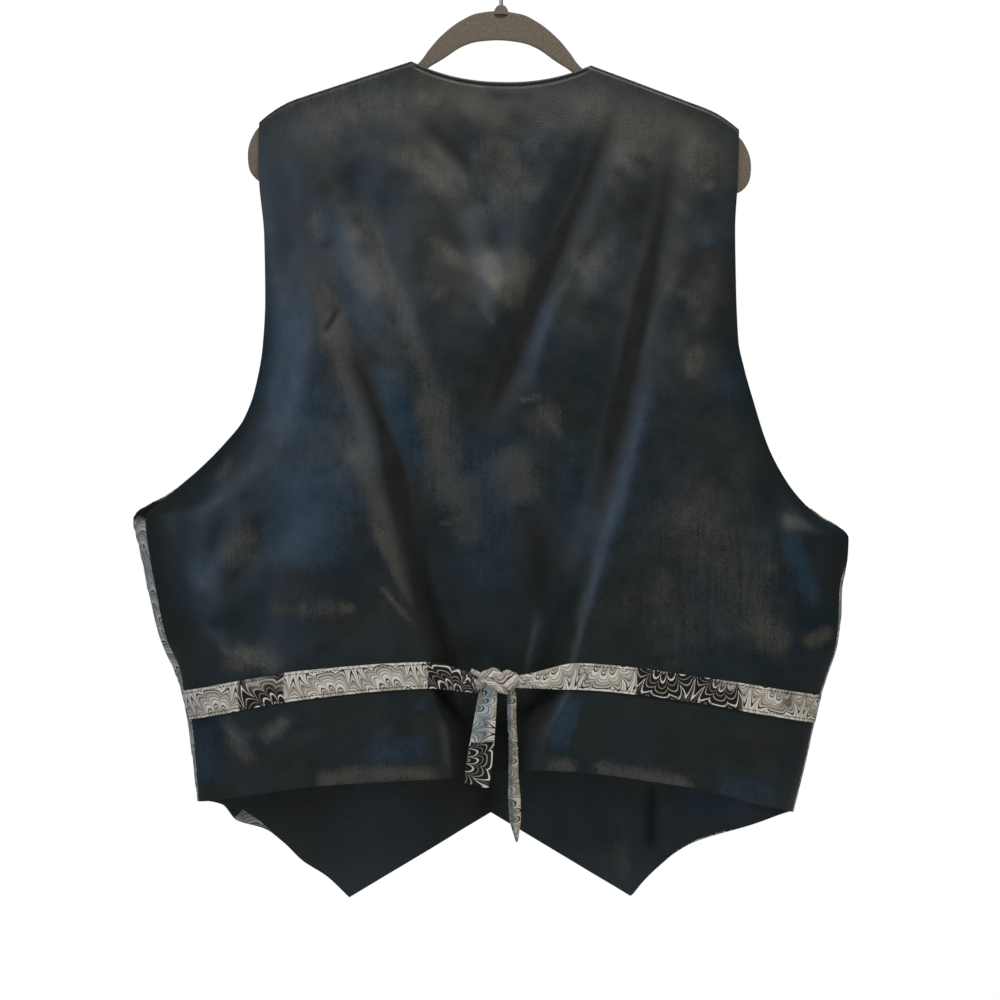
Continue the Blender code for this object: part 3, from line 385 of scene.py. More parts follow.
# shares of each painted light mark at each point of a cloth; the shoulder ridge gets a painted highlight
# too
def paintedLightMarks(paintedLight, points):
    x = points[..., 0]
    z = points[..., 2]
    marks = {name: foldRelief(rows, x, z, form["castEnd"]) for name, rows in paintedLight.items()}
    marks["warm"] += form["edgeWarm"] * np.exp(-((ridgeZ(x) - z) / form["edgeWarmMm"]) ** 2)
    return {name: np.clip(share, 0.0, 1.0) for name, share in marks.items()}


def backDepth(x, z):
    sunkLeft = ease((x - pleatLeft(z)) / form["wallLeft"])
    sunkRight = ease((pleatRight(z) - x) / form["wallRight"])
    uneven = (folded(backFolds, backCreases, x, z) + rumple(x, z)) * edgeFade(x, z) + neckTrim(x, z)
    sunk = form["pleatShare"] * pleatDepth(z) * sunkLeft * sunkRight
    return plainDepth(x, z, form["ridgeBack"], backDepthAt) + uneven - sunk


def frontDepth(x, z):
    clearOfLap = ease((np.abs(x) - form["lapClear"]) / form["edgeFade"])
    uneven = folded(frontFolds, frontCreases, x, z) + form["frontRumple"] * rumple(-x, z)
    uneven *= edgeFade(x, z) * clearOfLap
    return plainDepth(x, z, form["ridgeFront"], frontDepthAt) + uneven


# the left front laps over the right one, so it is lifted near its edge
def leftFrontDepth(x, z):
    return frontDepth(x, z) + form["lapLift"] * ease((x - form["lapStart"]) / form["lapWidth"])


# Mesh building for cloth

# normals of a grid of points: the mean of the normals of the squares around each point
def gridNormals(points):
    squares = np.cross(points[1:, 1:] - points[:-1, :-1], points[1:, :-1] - points[:-1, 1:])
    squares /= np.maximum(np.linalg.norm(squares, axis=-1, keepdims=True), 1e-9)
    normals = np.zeros_like(points)
    for i in (0, 1):
        for j in (0, 1):
            normals[i:len(points) - 1 + i, j:points.shape[1] - 1 + j] += squares
    return normals / np.maximum(np.linalg.norm(normals, axis=-1, keepdims=True), 1e-9)


# lengths along the cloth, across and down its grid, in hundreds of millimetres
def clothLengths(points):
    across = np.linalg.norm(np.diff(points, axis=1), axis=-1)
    down = np.linalg.norm(np.diff(points, axis=0), axis=-1)
    u = np.concatenate([np.zeros((len(points), 1)), np.cumsum(across, axis=1)], axis=1)
    v = np.concatenate([np.zeros((1, points.shape[1])), np.cumsum(down, axis=0)], axis=0)
    return np.stack([u, -v], axis=-1) / 100.0


# a mesh piece from points in millimetres, with its faces turned outwards: cloth is its flat places, sharp
# the angle of edges that stay crisp, and marks are shares at each point that a material reads
def addPiece(name, points, faces, material, cloth=None, sharp=None, marks=None):
    mesh = bpy.data.meshes.new(name)
    mesh.from_pydata((points.reshape(-1, 3) * mm).tolist(), [], faces)
    if cloth is not None:
        corners = np.empty(len(mesh.loops), dtype=np.int32)
        mesh.loops.foreach_get("vertex_index", corners)
        layer = mesh.uv_layers.new(name="cloth")
        layer.data.foreach_set("uv", cloth[corners].astype(np.float32).ravel())
    outward = bmesh.new()
    outward.from_mesh(mesh)
    bmesh.ops.recalc_face_normals(outward, faces=outward.faces)
    outward.to_mesh(mesh)
    outward.free()
    mesh.shade_smooth()
    if sharp:
        mesh.set_sharp_from_angle(angle=math.radians(sharp))
    for mark, shares in (marks or {}).items():
        layer = mesh.attributes.new(mark, "FLOAT", "POINT")
        layer.data.foreach_set("value", shares.astype(np.float32))
    mesh.materials.append(material)
    piece = bpy.data.objects.new(name, mesh)
    bpy.context.scene.collection.objects.link(piece)
    return piece


# edges of a wall that bend by more degrees than this stay crisp
rimSharp = 65.0


# a thin closed wall between an outer and an inner layer of points on the same grid
def addWall(name, outer, inner, material, cloth=None, marks=None):
    rows, columns = outer.shape[:2]
    count = rows * columns
    index = np.arange(count).reshape(rows, columns)
    squares = [index[:-1, :-1], index[:-1, 1:], index[1:, 1:], index[1:, :-1]]
    squares = np.stack(squares, axis=-1).reshape(-1, 4)
    border = np.concatenate([index[0, :-1], index[:-1, -1], index[-1, :0:-1], index[:0:-1, 0]])
    after = np.roll(border, -1)
    rim = np.stack([border, border + count, after + count, after], axis=-1)
    faces = np.concatenate([squares, squares[:, ::-1] + count, rim]).tolist()
    cloth = clothLengths(outer) if cloth is None else cloth
    flat = np.concatenate([cloth.reshape(-1, 2)] * 2)
    both = {mark: np.concatenate([shares.ravel()] * 2) for mark, shares in (marks or {}).items()}
    return addPiece(name, np.stack([outer, inner]), faces, material, flat, rimSharp, both)


# selects these pieces alone, with the first one active
def selectOnly(*pieces):
    bpy.ops.object.select_all(action="DESELECT")
    for piece in pieces:
        piece.select_set(True)
    bpy.context.view_layer.objects.active = pieces[0]


# hangs a piece on the root and hides the solids that it stands for
def settle(piece, slot, *nodes):
    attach(piece, "root")
    if nodes:
        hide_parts(*nodes)
    return piece


# Materials

# a colour code as linear light
def linear(code):
    values = [int(code[i:i + 2], 16) / 255 for i in (1, 3, 5)]
    return (*[v / 12.92 if v <= 0.04045 else ((v + 0.055) / 1.055) ** 2.4 for v in values], 1.0)


# a shader node with its settings, and with its inputs by name or, as i0 or i1, by number
def addNode(tree, kind, settings=None, **links):
    node = tree.nodes.new("ShaderNode" + kind)
    for key, value in (settings or {}).items():
        setattr(node, key, value)
    for key, value in links.items():
        byNumber = key[0] == "i" and key[1:].isdigit()
        slot = node.inputs[int(key[1:]) if byNumber else key.replace("_", " ")]
        if isinstance(value, bpy.types.NodeSocket):
            tree.links.new(value, slot)
        else:
            slot.default_value = value
    return node


def newMaterial(name, **shader):
    material = bpy.data.materials.new(name)
    material.use_nodes = True
    tree = material.node_tree
    principled = tree.nodes["Principled BSDF"]
    for key, value in shader.items():
        principled.inputs[key.replace("_", " ")].default_value = value
    return material, tree, principled


def ramp(tree, factor, *stops):
    node = addNode(tree, "ValToRGB", Fac=factor)
    while len(node.color_ramp.elements) < len(stops):
        node.color_ramp.elements.new(0.5)
    for element, (place, colour) in zip(node.color_ramp.elements, stops):
        element.position = place
        element.color = linear(colour)
    return node.outputs["Color"]


# most values of a noise lie in this span
noiseLow = 0.3
noiseHigh = 0.7

# polyester satin: long floats lie flat, so black cloth has a broad soft sheen; its colour also carries
# brown-grey painted highlights, blue painted reflections and near-black painted shade where the cloth's
# marks say; its thread is too fine to show, so the grain is drawn about six times coarser
satinValues = {"coolGround": "#18262d", "warmGround": "#202622", "groundSpan": (0.40, 0.60),
               "warm": "#52504a", "cool": "#263f52", "deep": "#060a09", "markEdge": 0.4, "fleck": "#c4c4c4",
               "rough": 0.37, "roughSpan": (-0.05, 0.08), "castMm": 95.0, "rubMm": 17.0,
               "streakMm": 3.4, "streakLong": 12.0, "grainMm": 1.3, "rubShare": 1.5, "streakShare": 1.4,
               "grainShare": 2.1, "unevenShare": 0.6, "deepDull": 0.42, "bump": 0.3, "bumpMm": 0.3}


def satinMaterial(name, values):
    material, tree, shader = newMaterial(name, Specular_IOR_Level=0.5, Sheen_Weight=0.02,
                                         Sheen_Roughness=0.4, Anisotropic=0.2)
    place = addNode(tree, "TexCoord").outputs["Object"]
    longer = (1.0, 1.0, 1.0 / values["streakLong"])
    lengthways = addNode(tree, "Mapping", Vector=place, Scale=longer).outputs[0]
    noises = {}
    for layer, vector, detail, broken in (("cast", place, 2.0, 0.5), ("rub", place, 4.0, 0.6),
                                          ("streak", lengthways, 2.0, 0.6), ("grain", place, 2.0, 0.7)):
        noise = addNode(tree, "TexNoise", Vector=vector, Scale=1000 / values[layer + "Mm"], Detail=detail,
                        Roughness=broken)
        noises[layer] = noise.outputs["Fac"]
    start, end = values["groundSpan"]
    tint = ramp(tree, noises["cast"], (start, values["coolGround"]), (end, values["warmGround"]))
    layers = ("rub", "streak", "grain")
    uneven = -0.5 * sum(values[layer + "Share"] for layer in layers)
    for layer in layers:
        uneven = addNode(tree, "Math", {"operation": "MULTIPLY_ADD"}, i0=noises[layer],
                         i1=values[layer + "Share"], i2=uneven).outputs[0]
    # painted light: warm highlights, cool reflections and deep shade are mixed into the base colour; the
    # painted shade also roughens the cloth
    for mark in ("warm", "cool", "deep"):
        share = addNode(tree, "Attribute", {"attribute_name": mark}).outputs["Fac"]
        if mark != "deep":
            near = addNode(tree, "MapRange", Value=share, From_Max=values["markEdge"]).outputs["Result"]
            broken = addNode(tree, "Math", {"operation": "MULTIPLY_ADD", "use_clamp": True}, i0=uneven,
                             i1=values["unevenShare"], i2=share).outputs[0]
            share = addNode(tree, "Math", {"operation": "MULTIPLY"}, i0=near, i1=broken).outputs[0]
        tint = addNode(tree, "Mix", {"data_type": "RGBA"}, Factor=share, i6=tint,
                       i7=linear(values[mark])).outputs[2]
    fleck = ramp(tree, noises["grain"], (noiseLow, values["fleck"]), (noiseHigh, "#ffffff"))
    tint = addNode(tree, "Mix", {"data_type": "RGBA", "blend_type": "MULTIPLY"}, Factor=1.0, i6=tint,
                   i7=fleck).outputs[2]
    tree.links.new(tint, shader.inputs["Base Color"])
    low, high = [values["rough"] + change for change in values["roughSpan"]]
    gloss = addNode(tree, "MapRange", Value=noises["rub"], From_Min=noiseLow, From_Max=noiseHigh,
                    To_Min=low, To_Max=high).outputs["Result"]
    dull = addNode(tree, "Math", {"operation": "MULTIPLY_ADD"}, i0=share, i1=values["deepDull"], i2=gloss)
    tree.links.new(dull.outputs[0], shader.inputs["Roughness"])
    relief = {"Strength": values["bump"], "Distance": values["bumpMm"] * mm}
    soft = addNode(tree, "Bump", Height=noises["rub"], **relief)
    fine = addNode(tree, "Bump", Height=noises["grain"], Normal=soft.outputs[0], **relief)
    tree.links.new(fine.outputs[0], shader.inputs["Normal"])
    return material


satin = satinMaterial("wovenSatin", satinValues)
liningValues = dict(satinValues, coolGround="#28343a", warmGround="#2d322f", rough=0.48)
liningSatin = satinMaterial("liningSatin", liningValues)


# printed plain-weave cotton: combed marbling, where a comb drew bands of cream, grey and black ink into
# nested drops and gathered them into fans, with some stretches on a dark ground; its threads are coarser
# than real ones
# the last colour is a painted blue-grey shade of cool light laid over the print
printValues = {"fanMm": 51.5, "rowMm": 37.0, "gatherMm": 3.7, "gatherSteps": 2, "toothMm": 10.3,
               "toothPower": 0.6, "pullMm": 13.0, "calm": 0.75, "bandMm": 20.0, "wanderMm": 9.0,
               "wanderCellMm": 26.0, "toneCellMm": 46.0, "darkSpan": (0.93, 1.03), "threadMm": 1.1,
               "bump": 0.35, "bumpMm": 0.3, "cream": "#d6cec0", "pale": "#efe9de", "grey": "#a9a094",
               "smoke": "#4b423a", "ink": "#120f0d", "cool": "#bfd0e0"}
# where the tones of one band begin and end, on the print's light ground and on its dark one
lightBands = ((0.0, "ink"), (0.05, "ink"), (0.09, "pale"), (0.30, "pale"), (0.34, "ink"), (0.38, "cream"),
              (0.50, "pale"), (0.56, "smoke"), (0.60, "cream"), (0.78, "grey"), (0.84, "smoke"),
              (0.88, "cream"), (0.96, "cream"), (1.0, "ink"))
darkBands = ((0.0, "pale"), (0.05, "pale"), (0.10, "ink"), (0.30, "ink"), (0.34, "grey"), (0.38, "ink"),
             (0.60, "ink"), (0.64, "cream"), (0.69, "ink"), (0.95, "ink"), (1.0, "pale"))


def printMaterial(name, values):
    material, tree, shader = newMaterial(name, Roughness=0.62, Specular_IOR_Level=0.3)

    def calc(operation, a, b=0.0, c=0.0):
        return addNode(tree, "Math", {"operation": operation}, i0=a, i1=b, i2=c).outputs[0]

    def blend(kind, share, a, b):
        settings = {"data_type": "RGBA", "blend_type": kind}
        return addNode(tree, "Mix", settings, Factor=share, i6=a, i7=b).outputs[2]

    cloth = addNode(tree, "UVMap", {"uv_map": "cloth"}).outputs[0]
    wander = addNode(tree, "TexNoise", Vector=cloth, Scale=100 / values["wanderCellMm"], Detail=1.0)
    split = addNode(tree, "SeparateXYZ", Vector=cloth)
    drift = addNode(tree, "SeparateColor", Color=wander.outputs["Color"])
    u, v = [calc("MULTIPLY_ADD", calc("SUBTRACT", drift.outputs[i], 0.5), values["wanderMm"],
                 calc("MULTIPLY", split.outputs[i], 100.0)) for i in (0, 1)]
    rise = values["gatherMm"] * 2 * values["rowMm"] / values["fanMm"]
    for step in range(values["gatherSteps"]):
        fan = calc("MULTIPLY", u, 2 * math.pi / values["fanMm"])
        row = calc("MULTIPLY", v, math.pi / values["rowMm"])
        level = calc("COSINE", row)
        across = calc("COSINE", fan)
        if step == 0:
            dome = calc("MULTIPLY_ADD", across, 0.5, 0.5)
            dome = calc("MULTIPLY", dome, calc("MULTIPLY_ADD", level, -0.5, 0.5))
        u = calc("MULTIPLY_ADD", calc("MULTIPLY", level, calc("SINE", fan)), values["gatherMm"], u)
        v = calc("MULTIPLY_ADD", calc("MULTIPLY", calc("SINE", row), across), -rise, v)
    tooth = calc("ABSOLUTE", calc("COSINE", calc("MULTIPLY", u, math.pi / values["toothMm"])))
    tooth = calc("POWER", tooth, values["toothPower"])
    tooth = calc("MULTIPLY", tooth, calc("MULTIPLY_ADD", dome, -values["calm"], 1.0))
    pulled = calc("MULTIPLY_ADD", tooth, -values["pullMm"], v)
    band = calc("FRACT", calc("DIVIDE", pulled, values["bandMm"]))
    onLight, onDark = [ramp(tree, band, *[(place, values[tone]) for place, tone in bands])
                       for bands in (lightBands, darkBands)]
    onDarkGround, paintedCool, bare = [addNode(tree, "Attribute", {"attribute_name": mark}).outputs["Fac"]
                                  for mark in ("dark", "cool", "bare")]
    combed = addNode(tree, "CombineXYZ", X=u, Y=pulled).outputs[0]
    tone = addNode(tree, "TexNoise", Vector=combed, Scale=1 / values["toneCellMm"], Detail=0.0)
    dark = calc("ADD", onDarkGround, tone.outputs["Fac"])
    start, end = values["darkSpan"]
    dark = addNode(tree, "MapRange", Value=dark, From_Min=start, From_Max=end)
    shown = blend("MIX", dark.outputs["Result"], onLight, onDark)
    # painted shade of cool light: a blue-grey tint multiplied into the print where the cloth's mark says
    shown = blend("MULTIPLY", paintedCool, shown, linear(values["cool"]))
    shown = blend("MIX", bare, shown, linear(values["ink"]))
    tree.links.new(shown, shader.inputs["Base Color"])
    threads = addNode(tree, "TexNoise", Vector=cloth, Scale=100 / values["threadMm"], Detail=1.0)
    weave = addNode(tree, "Bump", Height=threads.outputs["Fac"], Strength=values["bump"],
                    Distance=values["bumpMm"] * mm)
    tree.links.new(weave.outputs[0], shader.inputs["Normal"])
    return material


printCloth = printMaterial("marbledCotton", printValues)


# a plain material with an uneven grain of two tones, and where it is given an uneven gloss or a nap
def grainedMaterial(name, values, **finish):
    material, tree, shader = newMaterial(name, **finish)
    place = addNode(tree, "TexCoord").outputs["Object"]
    grain = addNode(tree, "TexNoise", Vector=place, Scale=1000 / values["grainMm"], Detail=values["detail"],
                    Roughness=values.get("broken", 0.5)).outputs["Fac"]
    tint = ramp(tree, grain, (noiseLow, values["dark"]), (noiseHigh, values["light"]))
    tree.links.new(tint, shader.inputs["Base Color"])
    if "rough" in values:
        low, high = values["rough"]
        rough = addNode(tree, "MapRange", Value=grain, To_Min=low, To_Max=high)
        tree.links.new(rough.outputs["Result"], shader.inputs["Roughness"])
    if "napMm" in values:
        nap = addNode(tree, "Bump", Height=grain, Strength=values["nap"], Distance=values["napMm"] * mm)
        tree.links.new(nap.outputs[0], shader.inputs["Normal"])
    return material


# nylon flock on a moulded hanger: a matt, speckled nap with a faint pale bloom
flockValues = {"dark": "#625749", "light": "#8a7e6f", "grainMm": 1.4, "detail": 3.0, "broken": 0.8,
               "nap": 0.6, "napMm": 0.6}
flock = grainedMaterial("nylonFlock", flockValues, Roughness=1.0, Sheen_Weight=0.35, Sheen_Roughness=0.6)

# nickel-plated steel wire: bright, with soft unevenness in its gloss, coarser than real so that it shows
steelValues = {"dark": "#b9b7b4", "light": "#d3d1ce", "grainMm": 10 / 3, "detail": 1.0,
               "rough": (0.28, 0.36)}
steel = grainedMaterial("platedSteel", steelValues, Metallic=1.0)

# cast polyester resin: polished black with a faint cloudy grain
resinValues = {"dark": "#0c0c0d", "light": "#1d1d1f", "grainMm": 50 / 11, "detail": 3.0,
               "rough": (0.16, 0.3)}
resin = grainedMaterial("castResin", resinValues)

# spun polyester thread: dull, twisted
threadValues = {"dark": "#0d0d0e", "light": "#232325", "grainMm": 2 / 3, "detail": 1.0}
blackThread = grainedMaterial("blackThread", threadValues, Roughness=0.7)
print("materials made")


# Back panel

back = {"wall": 0.9, "leftColumns": 80, "middleColumns": 66, "rightColumns": 80, "rows": (106, 46, 10, 32),
        "trimRows": (0.0, 0.9, 1.8, 2.6, 3.2, 3.7, 4.2, 4.9, 6.0, 7.6), "neckToUnderarm": 392.0}


# places of the back's grid, from its zones across and its level lines down
def backPlaces(columns, down):
    down, across = np.meshgrid(down, columns, indexing="ij")
    corners = (form["tipLeft"], -form["neckHalf"], form["neckHalf"], form["tipRight"])
    topX = np.interp(across, (0.0, 1.0, 2.0, 3.0), corners)
    middle = np.clip(np.abs(2.0 * (across - 1.5)), 0.0, 1.0)
    top = ridgeZ(topX) - form["necklineDrop"] * (1.0 - middle ** form["necklinePower"])
    heights = np.stack([top] + [curve(across) for curve in levelCurves])
    line = np.minimum(down.astype(int), len(heights) - 2)
    upper = np.take_along_axis(heights, line[None], axis=0)[0]
    lower = np.take_along_axis(heights, line[None] + 1, axis=0)[0]
    z = mixTo(upper, lower, down - line)
    bounds = np.stack([leftEdge(z), pleatLeft(z), pleatRight(z), rightEdge(z)])
    zone = np.minimum(across.astype(int), 2)
    start = np.take_along_axis(bounds, zone[None], axis=0)[0]
    end = np.take_along_axis(bounds, zone[None] + 1, axis=0)[0]
    return mixTo(start, end, across - zone), z


def backPoints(columns, down):
    x, z = backPlaces(columns, down)
    return np.stack([x, -np.maximum(backDepth(x, z), form["leastDepth"]), z], axis=-1)


def backColumns():
    left = np.linspace(0.0, 1.0, back["leftColumns"], endpoint=False)
    middle = np.linspace(1.0, 2.0, back["middleColumns"], endpoint=False)
    right = np.linspace(2.0, 3.0, back["rightColumns"] + 1)
    return np.concatenate([left, middle, right])


def backDown():
    trimRows = np.array(back["trimRows"]) / back["neckToUnderarm"]
    rows = [trimRows[:-1], np.linspace(trimRows[-1], 1.0, back["rows"][0], endpoint=False)]
    for line, count in enumerate(back["rows"][1:], 1):
        rows.append(np.linspace(line, line + 1.0, count, endpoint=line == 3))
    return np.concatenate(rows)


def makeBack():
    outer = backPoints(backColumns(), backDown())
    normals = -gridNormals(outer)
    normals[0] = (0.0, 0.0, 1.0)
    inner = outer - normals * back["wall"]
    # the back's colour carries its painted highlights, reflections and shade
    piece = addWall("satinBack", outer, inner, satin, marks=paintedLightMarks(backPaintedLight, outer))
    settle(piece, "black_satin", "back_panel")


makeBack()
print("back panel made")


# Fronts and their linings

# the cool share, strip and corner values lay a painted blue-grey shade of cool light on the side strip and
# on the left hem's corner
front = {"wall": 0.9, "liningWall": 0.7, "liningGap": 0.4, "columns": 110, "upperRows": 84, "lowerRows": 60,
         "columnPower": 1.25, "rowPower": 1.3, "roundDepth": 36.0, "roundSteps": 200,
         "turnUp": 12.0, "turnUpSpan": (-240.0, -232.0, -204.0),
         "hemShow": 1.6, "hemShowSpan": (148.0, 158.0, 205.0, 222.0), "hemPower": 8,
         "darkShare": 0.44, "coolShare": 0.8, "stripIn": 16.0, "stripFade": 40.0,
         "corner": (-222.0, -786.0), "cornerHalf": (30.0, 20.0),
         "bareZ": {"left": -516.0, "right": -560.0}, "bareFade": 4.0, "bareIn": 2.0}
hems = {
    "left": rowsOf(
        "x z", (-269.0, -763.0), (-247.0, -769.5), (-235.0, -784.0), (-209.5, -792.5), (-192.5, -805.0),
        (-176.5, -820.5), (-155.0, -834.5), (-135.0, -853.5)),
    "right": rowsOf(
        "x z", (259.0, -772.0), (223.0, -788.0), (172.0, -804.0), (155.0, -813.5), (139.0, -826.5),
        (125.5, -840.0), (115.5, -852.5)),
}
hemEnds = {"left": -766.5, "right": -775.5}


# places of one front's grid: a patch between its shoulder, armhole and side, front edge and hem, with the
# distance in from the widest reach below zero where the cloth has turned round the side to meet the back
def frontPoints(side):
    left = side == "left"
    sign = 1.0 if left else -1.0
    edge = leftEdge if left else rightEdge
    reach = leftReach if left else rightReach
    tipX = form["tipLeft"] if left else form["tipRight"]
    neckX = -form["neckHalf"] if left else form["neckHalf"]
    frontX = form["frontEdgeLeft"] if left else form["frontEdgeRight"]
    lines = (levels[0] if left else levels[-1])[1:]
    underZ = lines[0]
    sideHemZ = lines[-1]
    hemRows = hems[side]
    hemEnd = hemEnds[side]
    point = hemRows[-1]
    hemCurve = curveOf(hemRows, "x", "z")

    def hemZ(x):
        toFront = (x - point.x) / (frontX - point.x)
        return np.where(toFront > 0, mixTo(point.z, hemEnd, toFront), hemCurve(x))

    def sideIn(z):
        turn = 1.0 - 2.0 * ease((underZ + form["armholeTurn"] - z) / form["armholeTurn"])
        fall = np.clip((ridgeZ(tipX) - z) / (ridgeZ(tipX) - underZ), 0.0, 1.0)
        scoop = form["scoop"] * np.sin(math.pi * fall) ** form["scoopPower"]
        return np.abs(edge(z) - reach(z)) * turn * np.abs(turn) + scoop

    sideX = hemRows[0].x
    columns = np.linspace(0.0, 1.0, front["columns"]) ** front["columnPower"]
    upperRows = np.linspace(0.0, 1.0, front["upperRows"], endpoint=False)
    upperRows = 1.0 - (1.0 - upperRows) ** front["rowPower"]
    rows = np.concatenate([upperRows, np.linspace(1.0, 2.0, front["lowerRows"])]) / 2
    down, across = np.meshgrid(rows, columns, indexing="ij")
    upper = np.clip(2.0 * down, 0.0, 1.0)
    lower = np.clip(2.0 * down - 1.0, 0.0, 1.0)
    shoulderX = mixTo(tipX, neckX, across)
    shoulderZ = ridgeZ(shoulderX)
    shoulderIn = (shoulderX - reach(shoulderZ)) * sign
    sideZ = mixTo(mixTo(ridgeZ(tipX), underZ, upper), sideHemZ, lower)
    sideInward = sideIn(sideZ)
    frontLineX = mixTo(neckX, frontX, upper) + sign * form["vBow"] * np.sin(math.pi * upper)
    frontLineZ = mixTo(mixTo(ridgeZ(neckX), form["vBottom"], upper), hemEnd, lower)
    frontIn = (frontLineX - reach(frontLineZ)) * sign
    hemIn = mixTo(sideIn(np.array(sideHemZ)), (frontX - reach(hemEnd)) * sign, across)
    hemLineZ = hemZ(mixTo(sideX, frontX, across))

    def patch(top, bottom, start, end):
        topCorners = mixTo(top[0, 0], top[0, -1], across)
        bottomCorners = mixTo(bottom[-1, 0], bottom[-1, -1], across)
        return mixTo(top, bottom, down) + mixTo(start, end, across) - mixTo(topCorners, bottomCorners, down)

    inward = patch(shoulderIn, hemIn, sideInward, frontIn)
    z = patch(shoulderZ, hemLineZ, sideZ, frontLineZ)
    x = reach(z) + sign * np.abs(inward)
    depth = leftFrontDepth if left else frontDepth
    y = np.where(inward < 0, -backDepth(x, z), depth(x, z))
    y = np.where(np.abs(y) < form["leastDepth"], form["leastDepth"], y)
    run = clothRun(inward)
    cloth = np.stack([reach(z) + run * sign, z], axis=-1) / 100.0
    return np.stack([x, y, z], axis=-1), sign, cloth, run


# distance along the cloth from the widest reach, on the usual rounding of the sides
def clothRun(inward):
    reach = np.linspace(0.0, form["sideRound"], front["roundSteps"])
    depth = front["roundDepth"] * np.sqrt(1.0 - (1.0 - reach / form["sideRound"]) ** 2)
    run = np.concatenate([[0.0], np.cumsum(np.hypot(np.diff(reach), np.diff(depth)))])
    past = np.maximum(np.abs(inward) - form["sideRound"], 0.0)
    return np.sign(inward) * (np.interp(np.abs(inward), reach, run) + past)


# how much of the print shows its dark ground, a painted blue-grey shade of cool light and bare black, by
# where the cloth lies
def frontMarks(side, points, run):
    x = (points[..., 0] - front["corner"][0]) / front["cornerHalf"][0]
    z = points[..., 2]
    strip = ease((front["stripIn"] - run) / front["stripFade"])
    corner = np.exp(-x ** 2 - ((z - front["corner"][1]) / front["cornerHalf"][1]) ** 2)
    cool = np.maximum(strip, corner)
    bare = ease(-run / front["bareIn"]) * ease((z - front["bareZ"][side]) / front["bareFade"])
    return {"dark": front["darkShare"] * (1.0 - cool), "cool": front["coolShare"] * cool, "bare": bare}


def makeFront(side):
    outer, sign, cloth, run = frontPoints(side)
    normals = sign * gridNormals(outer)
    normals[0] = (0.0, 0.0, 1.0)
    inner = outer - normals * front["wall"]
    shell = addWall("printedFront_" + side, outer, inner, printCloth, cloth, frontMarks(side, outer, run))
    settle(shell, "marbled_print", "front_" + side)
    hemX = outer[-1, :, 0]
    if side == "left":
        shown = np.interp(hemX, front["turnUpSpan"], (0.0, front["turnUp"], 0.0))
    else:
        shown = np.interp(hemX, front["hemShowSpan"], (0.0, front["hemShow"], front["hemShow"], 0.0))
    places = inner - normals * front["liningGap"]
    places[..., 2] += np.linspace(0.0, 1.0, len(outer))[:, None] ** front["hemPower"] * shown[None]
    inside = places - normals * front["liningWall"]
    # painted highlights, reflections and shade in the lining's colour
    paintedLight = paintedLightMarks(liningPaintedLight, places)
    lining = addWall("satinLining_" + side, places, inside, liningSatin, marks=paintedLight)
    settle(lining, "black_lining_satin", "lining_" + side)


for side in ("left", "right"):
    makeFront(side)
print("fronts and linings made")


# Half belt

belt = {"wall": 1.5, "lift": 0.5, "freeSteps": 44, "knotX": -2.2, "knotHalf": 17.0,
        "leftEnd": (7.0, -656.5), "rightEnd": (4.2, -654.6), "gathers": 4.0, "gatherDepth": 1.0,
        "stitchIn": 0.10, "stitchLong": 2.4, "stitchStep": 3.3, "stitchHalf": 0.42, "stitchRise": 0.3,
        "columns": 150, "rows": 17, "endReach": 0.8, "endLift": 0.4, "stemIn": 9.0,
        "crossSteps": 14, "crossRows": (1, 15), "crossColumns": (2, 10)}
# where one stem of the print stands on each strap, and how dark its ground is along the strap
beltPrint = {
    "left": {"stemX": -176.5, "x": (-275, -232, -226, -190, -182, -68, -62, -10),
             "dark": (0.18, 0.18, 0.62, 0.62, 0.10, 0.10, 0.80, 0.80)},
    "right": {"stemX": 114.9, "x": (5, 114, 120, 162, 168, 205, 214, 280),
              "dark": (0.10, 0.10, 0.80, 0.80, 0.54, 0.54, 0.25, 0.25)},
}


# a stitch in four rings: their places along it, their heights, and how much narrower its top is
stitch = {"first": 0.4, "places": (0.0, 0.25, 0.75, 1.0), "heights": (0.1, 1.0, 1.0, 0.1), "topShare": 0.6}


# joined mesh of short stitches along lines of points that lie on a cloth, each line with its normals
def addStitches(name, lines, values, material):
    corners = []
    for points, normals in lines:
        reach = np.concatenate([[0.0], np.cumsum(np.linalg.norm(np.diff(points, axis=0), axis=1))])
        starts = np.arange(stitch["first"], reach[-1] - values["stitchLong"], values["stitchStep"])
        for start in starts:
            places = start + values["stitchLong"] * np.array(stitch["places"])
            middle = np.stack([np.interp(places, reach, points[:, axis]) for axis in range(3)], axis=-1)
            out = np.stack([np.interp(places, reach, normals[:, axis]) for axis in range(3)], axis=-1)
            along = middle[-1] - middle[0]
            side = np.cross(out, along / np.linalg.norm(along)) * values["stitchHalf"]
            top = middle + out * values["stitchRise"] * np.array(stitch["heights"])[:, None]
            low = middle - out * values["stitchRise"]
            upper = side * stitch["topShare"]
            corners.append(np.stack([low - side, top - upper, top + upper, low + side], axis=1))
    corners = np.array(corners)
    shape = []
    for ring in range(3):
        shape += [[4 * ring + a, 4 * ring + b, 4 * ring + 4 + b, 4 * ring + 4 + a]
                  for a, b in ((0, 1), (1, 2), (2, 3), (3, 0))]
    shape += [[3, 2, 1, 0], [12, 13, 14, 15]]
    faces = (np.array(shape)[None] + 16 * np.arange(len(corners))[:, None, None]).reshape(-1, 4).tolist()
    return settle(addPiece(name, corners, faces, material), "black_satin")


